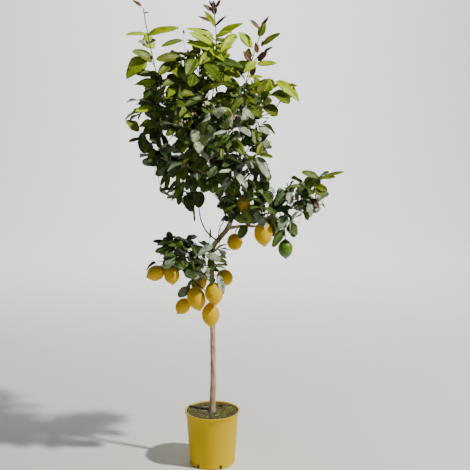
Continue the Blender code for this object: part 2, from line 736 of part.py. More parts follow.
def lemon(name, fruit, collection, finish):
    corners, faces = ball_mesh(fruit)
    mesh = bpy.data.meshes.new(name)
    mesh.from_pydata(corners, [], faces)
    return mesh_object(name, mesh, collection, finish)


def mass_made(mass, growth, collection, helpers, finishes):
    """One mass of foliage as a single closed body."""
    pieces = new_collection(mass.name + "_pieces", helpers)
    body = tube(mass.name, growth.stem, growth.radii, 4, collection, helpers, finishes["bark"])
    for i, path in enumerate(growth.twigs):
        radii = [TWIG_R[0] + (TWIG_R[1] - TWIG_R[0]) * k / (len(path) - 1) for k in range(len(path))]
        tube(f"{mass.name}_twig_{i}", path, radii, 3, pieces, helpers, finishes["bark"])
    for i, path in enumerate(growth.stalks):
        tube(f"{mass.name}_stalk_{i}", path, [STALK_R] * len(path), 3, pieces, helpers, finishes["bark"])
    for i, frame in enumerate(growth.frames):
        leaf(f"{mass.name}_leaf_{i}", frame, pieces, finishes["young" if mass.young > 0.5 else "leaf"])
    for i, fruit in enumerate(growth.fruits):
        lemon(f"{mass.name}_lemon_{i}", fruit, pieces, finishes["ripe" if fruit.ripe else "green"])
    boolean(body, "UNION", pieces)
    for piece in list(pieces.objects):
        bpy.data.objects.remove(piece)
    bpy.data.collections.remove(pieces)
    keep_largest(body)


def main():
    for obj in list(bpy.data.objects):
        bpy.data.objects.remove(obj)
    tree = new_collection("potted_lemon_tree")
    helpers = new_collection("helpers")
    finishes = {
        "pot": material("yellow_plastic", (0.90, 0.66, 0.03), 0.38),
        "soil": material("compost", (0.055, 0.052, 0.030), 0.95),
        "bark": material("bark", (0.30, 0.23, 0.155), 0.80),
        "leaf": material("leaf", (0.045, 0.105, 0.022), 0.42),
        "young": material("young_leaf", (0.21, 0.30, 0.02), 0.45),
        "ripe": material("lemon", (0.90, 0.55, 0.02), 0.40),
        "green": material("green_lemon", (0.09, 0.19, 0.02), 0.40),
    }
    pot(tree, helpers, finishes["pot"])
    soil(tree, finishes["soil"])
    limbs = limb_paths()
    limbs_made(limbs, tree, helpers, finishes["bark"])
    for mass, growth in zip(MASSES, grow(limbs).values()):
        mass_made(mass, growth, tree, helpers, finishes)


main()
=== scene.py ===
"""Looks of the potted lemon tree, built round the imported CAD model, in metres, +Z up.

The limbs and the first growth of every mass follow the part's own tables and rule, and are carried on
from there to finer twigs, leaves of about life size, fruit and blossom.
"""

import json
import math
import random
from collections import namedtuple
from itertools import product

import bmesh
import bpy
from mathutils import Matrix, Vector, noise
from mathutils.bvhtree import BVHTree
from mathutils.kdtree import KDTree

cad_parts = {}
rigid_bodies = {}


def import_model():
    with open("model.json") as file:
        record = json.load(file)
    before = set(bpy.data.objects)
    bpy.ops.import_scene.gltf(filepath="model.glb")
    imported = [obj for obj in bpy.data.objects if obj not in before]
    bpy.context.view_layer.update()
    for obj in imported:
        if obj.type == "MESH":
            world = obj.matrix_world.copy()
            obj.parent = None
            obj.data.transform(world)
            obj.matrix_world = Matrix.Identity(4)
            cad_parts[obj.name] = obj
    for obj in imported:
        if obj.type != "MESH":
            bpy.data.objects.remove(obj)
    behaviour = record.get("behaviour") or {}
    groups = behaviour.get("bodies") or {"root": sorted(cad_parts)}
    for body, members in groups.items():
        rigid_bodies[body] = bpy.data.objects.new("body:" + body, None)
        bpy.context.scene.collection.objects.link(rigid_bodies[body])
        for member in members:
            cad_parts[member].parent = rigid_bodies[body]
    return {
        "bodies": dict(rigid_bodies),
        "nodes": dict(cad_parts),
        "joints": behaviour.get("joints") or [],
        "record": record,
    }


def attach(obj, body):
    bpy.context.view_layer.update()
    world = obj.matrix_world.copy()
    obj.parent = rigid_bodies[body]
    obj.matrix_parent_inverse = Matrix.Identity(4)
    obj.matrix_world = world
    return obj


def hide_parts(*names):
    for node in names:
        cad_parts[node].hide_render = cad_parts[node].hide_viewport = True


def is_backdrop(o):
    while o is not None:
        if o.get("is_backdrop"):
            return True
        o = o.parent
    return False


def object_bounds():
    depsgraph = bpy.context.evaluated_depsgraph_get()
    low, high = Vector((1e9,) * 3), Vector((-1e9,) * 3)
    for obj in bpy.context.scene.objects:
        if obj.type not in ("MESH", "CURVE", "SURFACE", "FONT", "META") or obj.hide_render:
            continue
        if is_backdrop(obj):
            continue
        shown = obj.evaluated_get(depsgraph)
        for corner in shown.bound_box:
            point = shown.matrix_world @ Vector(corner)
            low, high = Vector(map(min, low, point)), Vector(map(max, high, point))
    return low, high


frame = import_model()
CAD_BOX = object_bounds()
UP = Vector((0, 0, 1))

# Camera: the photograph's viewing angle, and its focal length in pixels
CAMERA_PLACE = (0.0847, -3.24, 1.404)
CAMERA_TILT = math.radians(80.5)
CAMERA_LENS = 69.83
CAMERA_SENSOR = 36
PICTURE = 470
FOCUS = CAMERA_LENS / CAMERA_SENSOR * PICTURE

# Pot
RIM_D = 0.2055
POT_H = 0.202
LIP_H = 0.006
LIP_OUT = 0.006
LIP_TOP = 0.0055
BASE_D = 0.169
CORNER_R = 0.008
WALL_T = 0.002
FLOOR_LIFT = 0.0195
PAD_R = 0.058
PAD_SLOPE = 0.004
SLOT_COUNT = 6
SLOT_W = 0.0105
SLOT_H = 0.017
SLOT_TURN_DEG = -67.3
SLOT_DEPTH = 0.016
SLOT_UNDER = 0.004
POT_SIDES = 144

# Compost: its level, the foot of its surface, its rings, and its grains
SOIL_Z = 0.1985
SOIL_FOOT_Z = 0.19
SOIL_RINGS = 44
SOIL_SIDES = 120
GRAINS = 3600
# Its surface: how many humps a metre has, how high large and small ones are, how far it rises at the trunk,
# the length over which that fades, and how far the whole is sunk
HUMPS = 38
HUMP_H = 0.0016
BUMP_H = 0.0009
TRUNK_RISE = 0.0012
RISE_FADE = 0.02
SOIL_SUNK = 0.0006
# How far grains and moss keep from the trunk's middle, and the sizes of grains and of tufts of moss
GRAIN_CLEAR = 0.0155
MOSS_CLEAR = 0.019
GRAIN_SIZE = (0.0006, 0.0019)
TUFT_SIZE = (0.0005, 0.0013)
# Moss: the middle of each patch, its reach and its number of tufts
MOSS = [
    (0.050, -0.010, 0.026, 340), (0.066, 0.026, 0.018, 300), (0.030, -0.045, 0.020, 220),
    (-0.066, -0.020, 0.018, 130), (-0.030, -0.062, 0.016, 110), (0.020, 0.070, 0.018, 200),
]
# Straw: where each piece lies, the way it points, and its length
STRAW = [
    (-0.038, -0.012, 0.5, 0.022), (-0.052, -0.030, -0.9, 0.016), (0.012, -0.050, 0.2, 0.02),
    (0.045, 0.04, 1.9, 0.018), (-0.02, 0.03, 2.6, 0.015),
]

# Clearance between neighbouring solids, and the extra room that leaves keep from limbs
GAP = 0.0003
LIMB_ROOM = 0.0012

# Trunk: each bend's place, and the radius there
TRUNK_X = 0.001
TRUNK_FORM = [
    ((TRUNK_X, 0.000, SOIL_Z + GAP), 0.0152),
    ((TRUNK_X, 0.000, SOIL_Z + 0.007), 0.0134),
    ((TRUNK_X, 0.001, 0.230), 0.0114),
    ((0.004, 0.002, 0.330), 0.0102),
    ((0.003, -0.002, 0.470), 0.0096),
    ((0.002, -0.003, 0.660), 0.0092),
    ((0.000, 0.000, 0.770), 0.0090),
    ((0.007, 0.001, 0.820), 0.0092),
    ((0.032, 0.002, 0.853), 0.0088),
    ((0.058, 0.000, 0.886), 0.0088),
    ((0.071, -0.003, 0.925), 0.0088),
    ((0.070, -0.005, 0.975), 0.0082),
    ((0.053, -0.003, 1.018), 0.0072),
    ((0.035, 0.001, 1.056), 0.0064),
    ((0.021, 0.004, 1.100), 0.0056),
]
TRUNK_STEP = 0.032
BOUGH_STEP = 0.030

# A bough leaves its parent where that is nearest to a height or, on another bough, at a share of it
Bough = namedtuple("Bough", "name parent at reach bow radii")
BOUGHS = [
    Bough("bough_low_left", "trunk", 0.800, (-0.050, -0.022, -0.004), (0, 0, 0.006), (0.0042, 0.0030)),
    Bough("bough_low_front", "trunk", 0.770, (-0.006, -0.034, -0.006), (0, 0, 0.003), (0.0040, 0.0034)),
    Bough("bough_arch_left", "trunk", 0.842,
          (-0.066, -0.026, 0.122), (-0.014, 0, -0.014), (0.0028, 0.0019)),
    Bough("bough_arch_mid", "trunk", 0.846,
          (0.016, -0.024, 0.066), (-0.006, -0.004, 0.002), (0.0021, 0.0015)),
    Bough("bough_right_arm", "trunk", 0.886, (0.094, -0.030, 0.012), (0, 0, 0.004), (0.0062, 0.0042)),
    Bough("bough_right_out", "bough_right_arm", 0.72,
          (0.098, 0.004, 0.052), (0, 0, 0.010), (0.0036, 0.0026)),
    Bough("bough_neck_right", "trunk", 0.950,
          (0.034, 0.016, 0.044), (0.004, 0, -0.006), (0.0036, 0.0028)),
    Bough("bough_left", "trunk", 1.040, (-0.118, -0.020, 0.066), (0, 0, 0.012), (0.0046, 0.0030)),
    Bough("bough_front", "trunk", 1.064, (-0.028, -0.088, 0.058), (0, 0, 0.010), (0.0042, 0.0030)),
    Bough("bough_back", "trunk", 1.052, (-0.030, 0.098, 0.052), (0, 0, 0.010), (0.0044, 0.0030)),
    Bough("bough_right", "trunk", 1.024, (0.058, -0.022, 0.080), (0.010, 0, 0), (0.0046, 0.0030)),
    Bough("leader", "trunk", 1.092, (-0.034, 0.004, 0.196), (0.008, 0, 0), (0.0048, 0.0032)),
    Bough("bough_left_high", "leader", 0.34,
          (-0.088, -0.012, 0.088), (-0.006, 0, 0.002), (0.0034, 0.0024)),
    Bough("bough_right_high", "leader", 0.46,
          (0.084, -0.026, 0.084), (0.006, 0, 0.002), (0.0034, 0.0024)),
    Bough("bough_back_high", "leader", 0.58,
          (-0.006, 0.082, 0.060), (0, 0.004, 0.004), (0.0032, 0.0024)),
    Bough("bough_front_high", "leader", 0.72, (-0.016, -0.060, 0.044), (0, 0, 0.004), (0.0030, 0.0024)),
    Bough("bough_shoot_left", "bough_left_high", 0.62,
          (-0.143, -0.012, 0.203), (-0.022, 0, -0.014), (0.0024, 0.0017)),
    Bough("bough_shoot_right", "bough_right_high", 0.60,
          (0.040, -0.006, 0.112), (0.006, 0, 0), (0.0022, 0.0017)),
    Bough("bough_spray_right", "bough_right_high", 0.84,
          (0.096, 0.006, 0.034), (0, 0, 0.006), (0.0021, 0.0016)),
    Bough("bough_shoot_centre", "leader", 0.93,
          (0.026, -0.004, 0.220), (0.004, 0, 0), (0.0024, 0.0017)),
]
YOUNG_BOUGHS = ("bough_shoot_left", "bough_shoot_right", "bough_shoot_centre", "bough_spray_right")
# These thin boughs are drawn with the twigs, in their bark that is darkened as painted shade
THIN_BOUGHS = ("bough_arch_left", "bough_arch_mid")
# Boughs that start above this height have the darker bark of the crown
BRANCH_Z = 1.12
# Twigs to leaves above this height are green
YOUNG_Z = 1.42
# Bark: height of the ridges and of the finer grain, height and spacing of the old leaf joints
RIDGE_H = 0.00045
GRAIN_H = 0.00018
JOINT_H = 0.0004
JOINT_STEP = 0.047
# The trunk's foot and a bough's start are wider by these shares, which fade over these lengths
FOOT_SWELL = 0.07
FOOT_FADE = 0.016
COLLAR_SWELL = 0.55
COLLAR_FADE = 0.009
# How the drawn wood is divided: steps along it, and sides
TRUNK_FINE = 0.005
BOUGH_FINE = 0.006
TWIG_FINE = 0.012
STALK_FINE = 0.008
TRUNK_SIDES = 40
BOUGH_SIDES = 18
THIN_SIDES = 10

# A mass fills its own rounded box, as far as no neighbour's middle is nearer in proportion. Its stem runs
# past the middle by a share of the way there, and is bare up to a share of its length
Mass = namedtuple("Mass", "name bough centre radii run bare twigs size droop young seed")
MASSES = [
    Mass("foliage_left_low", "bough_left", (-0.150, -0.030, 1.135), (0.160, 0.155, 0.135),
         0.35, 0.5, 8, 0.100, 0.50, 0, 11),
    Mass("foliage_front_low", "bough_front", (-0.020, -0.135, 1.165), (0.140, 0.130, 0.130),
         0.25, 0.5, 7, 0.100, 0.55, 0, 12),
    Mass("foliage_right_low", "bough_right", (0.105, -0.045, 1.130), (0.145, 0.155, 0.120),
         0.35, 0.5, 8, 0.100, 0.48, 0, 13),
    Mass("foliage_back_low", "bough_back", (-0.020, 0.130, 1.160), (0.185, 0.145, 0.130),
         0.25, 0.5, 8, 0.100, 0.50, 0, 14),
    Mass("foliage_left_high", "bough_left_high", (-0.150, -0.020, 1.315), (0.155, 0.155, 0.125),
         0.30, 0.5, 8, 0.100, 0.30, 0, 15),
    Mass("foliage_front_high", "bough_front_high", (-0.025, -0.125, 1.365), (0.145, 0.135, 0.125),
         0.20, 0.5, 7, 0.100, 0.30, 0, 16),
    Mass("foliage_right_high", "bough_right_high", (0.105, -0.035, 1.310), (0.150, 0.155, 0.125),
         0.30, 0.5, 8, 0.100, 0.30, 0, 17),
    Mass("foliage_back_high", "bough_back_high", (-0.025, 0.120, 1.350), (0.180, 0.145, 0.135),
         0.25, 0.5, 8, 0.100, 0.30, 0, 18),
    Mass("foliage_crown_top", "leader", (-0.035, -0.005, 1.465), (0.165, 0.155, 0.110),
         0.30, 0.4, 8, 0.102, 0.10, 0.3, 19),
    Mass("foliage_tail_left", "bough_arch_left", (-0.092, -0.035, 1.015), (0.110, 0.105, 0.105),
         0.40, 0.3, 5, 0.092, 0.80, 0, 20),
    Mass("foliage_tail_mid", "bough_arch_mid", (0.024, -0.066, 0.985), (0.080, 0.075, 0.090),
         0.50, 0.3, 3, 0.076, 0.60, 0, 21),
    Mass("foliage_tail_right", "bough_neck_right", (0.135, -0.025, 1.005), (0.100, 0.115, 0.095),
         0.40, 0.3, 5, 0.086, 0.50, 0, 22),
    Mass("foliage_right_inner", "bough_right_arm", (0.190, -0.045, 0.935), (0.100, 0.105, 0.110),
         0.35, 0.3, 5, 0.092, 0.50, 0, 23),
    Mass("foliage_right_outer", "bough_right_out", (0.335, -0.030, 0.985), (0.140, 0.110, 0.120),
         0.45, 0.3, 7, 0.092, 0.25, 0, 24),
    Mass("foliage_low_left", "bough_low_left", (-0.118, -0.035, 0.785), (0.130, 0.105, 0.095),
         0.50, 0.3, 7, 0.090, 0.55, 0, 25),
    Mass("foliage_low_front", "bough_low_front", (-0.014, -0.062, 0.740), (0.115, 0.105, 0.125),
         0.45, 0.3, 8, 0.076, 0.45, 0, 26),
    Mass("shoot_left", "bough_shoot_left", (-0.210, -0.022, 1.552), (0.125, 0.100, 0.160),
         0.78, 0.1, 2, 0.096, 0.00, 0.9, 27),
    Mass("shoot_centre", "bough_shoot_centre", (0.014, -0.002, 1.595), (0.155, 0.125, 0.105),
         0.55, 0.1, 5, 0.100, 0.00, 1.0, 28),
    Mass("shoot_right", "bough_shoot_right", (0.156, -0.032, 1.505), (0.110, 0.105, 0.140),
         0.60, 0.1, 4, 0.086, -0.05, 0.9, 29),
    Mass("spray_right", "bough_spray_right", (0.240, -0.022, 1.355), (0.105, 0.100, 0.100),
         0.30, 0.1, 3, 0.094, 0.40, 0.6, 30),
]
MASS_NAMES = [mass.name for mass in MASSES]
# A mass is a shoot above this value of young
SHOOT = 0.5

# A lemon: its middle, the way its tip points, its width and its length
Fruit = namedtuple("Fruit", "mass middle tip width length ripe")
FRUIT = [
    Fruit("foliage_low_front", (-0.053, -0.062, 0.641), (0.26, -0.10, -1.0), 0.063, 0.088, True),
    Fruit("foliage_low_front", (0.010, -0.078, 0.664), (0.18, -0.55, -0.9), 0.061, 0.084, True),
    Fruit("foliage_low_front", (-0.003, -0.050, 0.578), (0.04, -0.06, -1.0), 0.061, 0.088, True),
    Fruit("foliage_low_front", (-0.104, -0.034, 0.606), (-0.55, 0.00, -0.8), 0.050, 0.066, True),
    Fruit("foliage_low_front", (-0.047, -0.012, 0.690), (-0.20, 0.10, -1.0), 0.055, 0.070, True),
    Fruit("foliage_low_front", (0.048, -0.018, 0.708), (0.50, -0.70, -0.50), 0.056, 0.068, True),
    Fruit("foliage_low_left", (-0.199, -0.055, 0.733), (-0.90, -0.15, -0.40), 0.054, 0.068, True),
    Fruit("foliage_low_left", (-0.140, -0.068, 0.728), (0.10, -0.25, -1.0), 0.053, 0.068, True),
    Fruit("foliage_right_inner", (0.084, -0.036, 0.842), (0.05, -0.85, -0.55), 0.054, 0.068, True),
    Fruit("foliage_tail_right", (0.114, -0.038, 0.976), (0.15, -0.20, -1.0), 0.050, 0.064, True),
    Fruit("foliage_right_inner", (0.184, -0.085, 0.880), (0.10, -0.10, -1.0), 0.062, 0.088, True),
    Fruit("foliage_right_outer", (0.264, -0.052, 0.820), (0.02, 0.00, -1.0), 0.050, 0.068, False),
]

# Twigs and leaves, by the source's rule
GOLDEN = math.radians(137.5)
TWIG_R = (0.0018, 0.0013)
TWIG_REACH = (0.46, 0.64)
FIRST_LEAF = 0.22
LEAF_WIDTH = 0.60
LEAF_KEEL = 0.045
LEAF_HANG = 0.9
BOXY = 2.8
SPACE_MARGIN = 0.010
STEM_STRAIGHT = 0.006
STALK_R = 0.0018
FRUIT_SINK = 0.006
# Radii as drawn, from start to end
TWIG_DRAWN = (TWIG_R[0] * 1.15, TWIG_R[1] * 0.9)
STALK_DRAWN = (STALK_R * 0.8, STALK_R * 1.15)
# A plain leaf's outline, as shares of its length: how far along, and half the width there
LEAF_ROWS = ((0.32, 0.48 * LEAF_WIDTH), (0.68, 0.44 * LEAF_WIDTH))
LEAF_FACES = [(0, 2, 1), (1, 2, 4, 3), (3, 4, 5), (0, 1, 3), (0, 3, 5), (0, 4, 2), (0, 5, 4)]

# Finer growth: side twigs at these shares of a twig, their reach and radii
SIDE_TWIGS = (0.42, 0.70, 0.95)
SIDE_REACH = (0.028, 0.048)
SIDE_R = (0.0013, 0.0008)
# The first and last leaf as shares of a twig, and the steps between leaves
FIRST_SIDE_LEAF = 0.25
LAST_LEAF = 0.98
LEAF_STEP = 0.0135
SIDE_LEAF_STEP = 0.0110
# A shoot's own leaves are mostly those of the table below
SHOOT_SHARE = 0.15
# Life size as a share of the source's leaves, with its spread, and a leaf's width as a share of its length
LIFE_SIZE = 0.80
LIFE_SPREAD = (0.82, 1.15)
LIFE_WIDTH = (0.54, 0.70)
LIFE_ARCH = (0.25, 0.9)
# The ways that are tried at one place, the turn from one to the next, and how much each is smaller
LIFE_TRIES = 12
NEXT_TURN = 1.1
TRY_SMALLER = 0.02
LESS_DROOP = 0.35
LOOSE = 0.35
STALK_SHARE = 0.11
PETIOLE_R = 0.0008
# Leaves' middles are compared within this distance, and a leaf reaches this share of its length from there
LEAF_ROOM = 0.06
LEAF_SPREAD = 0.6
LEAF_MIDDLE = Vector((0, 0.55, 0))
# A leaf may touch the wood over this share of its length: one from the table, and a grown one
SHOWN_FREE = 0.08
GROWN_FREE = 0.06

# A leaf as it is drawn, in rows: how far along, and the share of the full width there on a young pointed
# leaf and on an old blunt one. A row has columns from edge to edge, which the narrow midrib parts
BLADE_ROWS = [
    (0.04, 0.34, 0.36), (0.11, 0.62, 0.64), (0.22, 0.87, 0.86), (0.36, 1.00, 0.98), (0.51, 0.98, 1.00),
    (0.65, 0.84, 0.93), (0.78, 0.61, 0.78), (0.88, 0.37, 0.58), (0.955, 0.17, 0.36),
]
BLADE_COLUMNS = (-1, -0.52, -0.05, 0.05, 0.52, 1)
# Its fold along the midrib in degrees, how far it may twist, its waves, and its thickness for its length
BLADE_FOLD = (5, 26)
BLADE_TWIST = 0.6
BLADE_WAVE = (0.03, 0.20)
BLADE_THICK = 0.0045
BLADE_THINNEST = 0.0005
POINTED = ("fresh", "young", "bronze", "purple")

# A lemon's outline from its stalk to its drawn-out tip: share of the length, share of half the width
LEMON_FORM = [
    (0.008, 0.13), (0.020, 0.21), (0.040, 0.30), (0.075, 0.44), (0.130, 0.62), (0.205, 0.79),
    (0.300, 0.92), (0.400, 0.985), (0.500, 1.00), (0.595, 0.975), (0.685, 0.90), (0.765, 0.78),
    (0.830, 0.63), (0.880, 0.47), (0.915, 0.34), (0.940, 0.26), (0.962, 0.205), (0.982, 0.15),
    (0.994, 0.08),
]
LEMON_SIDES = 32
LEMON_FULL = 1.04
# How uneven a lemon is, as shares of its radius: broad bumps, fine ones, and its shoulder's ribs
LEMON_BUMP = 0.035
LEMON_FINE = 0.010
LEMON_RIB = 0.012
CALYX_SIDES = 20
CALYX_R = 0.0040
CALYX_LOBE = 0.0014

# Blossom: a bud's length and width, a petal's reach and width, and the stamens' length and width
BUD = (0.0095, 0.0048)
PETAL = (0.011, 0.006)
STAMENS = (0.006, 0.0034)
PETALS = 5
# A flower's stalk: the way that most of them lean, its length and its radius
FLOWER_WAY = (0, -0.6, 0.4)
FLOWER_STALK = (0.006, 0.013)
FLOWER_STALK_R = 0.0006

# Light: each lamp's way from its goal, its size, power and colour, and the goal that it looks at
Lamp = namedtuple("Lamp", "name way size power colour goal")
LAMPS = [
    Lamp("key", (0.64, -0.30, 0.707), 0.24, 355, (1.0, 0.97, 0.90), (0, 0, 0.9)),
    Lamp("back", (0, -0.7, 0.7), 4.0, 380, (0.98, 0.98, 1.0), (0, 7.5, 0.8)),
    Lamp("fill", (-0.6, -0.7, 0.5), 2.5, 7, (0.95, 0.97, 1.0), (0, 0, 0.9)),
]
LAMP_FAR = 5.0
WORLD_LIGHT = 0.10
# The floor sheet: its front edge, where it starts to rise, the radius of its curve, its top and half width
FLOOR_FRONT = -9.0
FLOOR_RISE = 5.0
FLOOR_CURVE = 3.0
FLOOR_TOP = 9.0
FLOOR_SIDE = 14

# A leaf's colours, as sRGB, on the upper side and underneath. The pale, sheen and sage tints are painted
# reflection of the sky on glossy leaves
TINTS = {
    "dark": ((48, 75, 24), (82, 106, 48)),
    "deep": ((64, 91, 18), (99, 121, 44)),
    "mid": ((86, 108, 10), (116, 134, 40)),
    "olive": ((102, 115, 8), (129, 142, 38)),
    "fresh": ((136, 158, 6), (152, 171, 36)),
    "young": ((176, 203, 6), (182, 206, 44)),
    "bronze": ((88, 48, 22), (100, 62, 36)),
    "purple": ((56, 26, 32), (70, 38, 42)),
    "pale": ((172, 194, 158), (176, 196, 164)),
    "sheen": ((190, 212, 166), (178, 198, 152)),
    "sage": ((116, 142, 98), (134, 156, 116)),
}
SHADES = ("dark", "deep", "mid", "olive", "fresh", "young")
# These tints have gloss, and their pale colours are painted reflection of the sky. Roughness, specular
# level, size of the mottles, and how dark and pale they are; the glossy tints' stronger mottles are partly
# painted highlights
GLOSSY_PAINTED_SHEEN = ("pale", "sheen", "sage")
GLOSSY_LEAF = (0.34, 0.45, 46, -0.34, 0.22)
MATT_LEAF = (0.46, 0.26, 30, -0.16, 0.10)
# The colour that the midrib takes on, by this share
VEIN = (190, 200, 96)
VEIN_SHARE = 0.30
# Sprays turn paler and yellower above the first of these heights, by SHADE_RISE up to the second: partly the
# young leaves' own colour, partly painted light, brighter where light falls on and through the crown's top
# and darker in the painted shade low down
SHADE_LOW = 1.22
SHADE_HIGH = 1.54
# A spray's shade is a place in SHADES: the lowest, how far it rises, how much more a shoot has, its spread
# from spray to spray, and from leaf to leaf
SHADE_FIRST = 0.8
SHADE_RISE = 3.8
SHADE_YOUNG = 1.2
SPRAY_SPREAD = 0.55
TINT_SPREAD = 0.45
# Below this height a share of the old leaves is pale with gloss, its pale colour a painted reflection of the
# sky
PAINTED_SHEEN_Z = 1.36
PAINTED_SHEEN_SHARE = 0.17

# Bare twigs that stand out in the photograph: a line of pixels, how far behind the trunk, and the radius
Bare = namedtuple("Bare", "line behind radius")
BARE = [
    Bare([(220.6, 233), (219.6, 226), (221.5, 219)], -0.018, 0.0010),
    Bare([(218.6, 255), (222.0, 250), (226.4, 245)], -0.020, 0.0012),
    Bare([(190.0, 64), (186.0, 52), (183.5, 40), (184.6, 33)], -0.022, 0.0012),
]

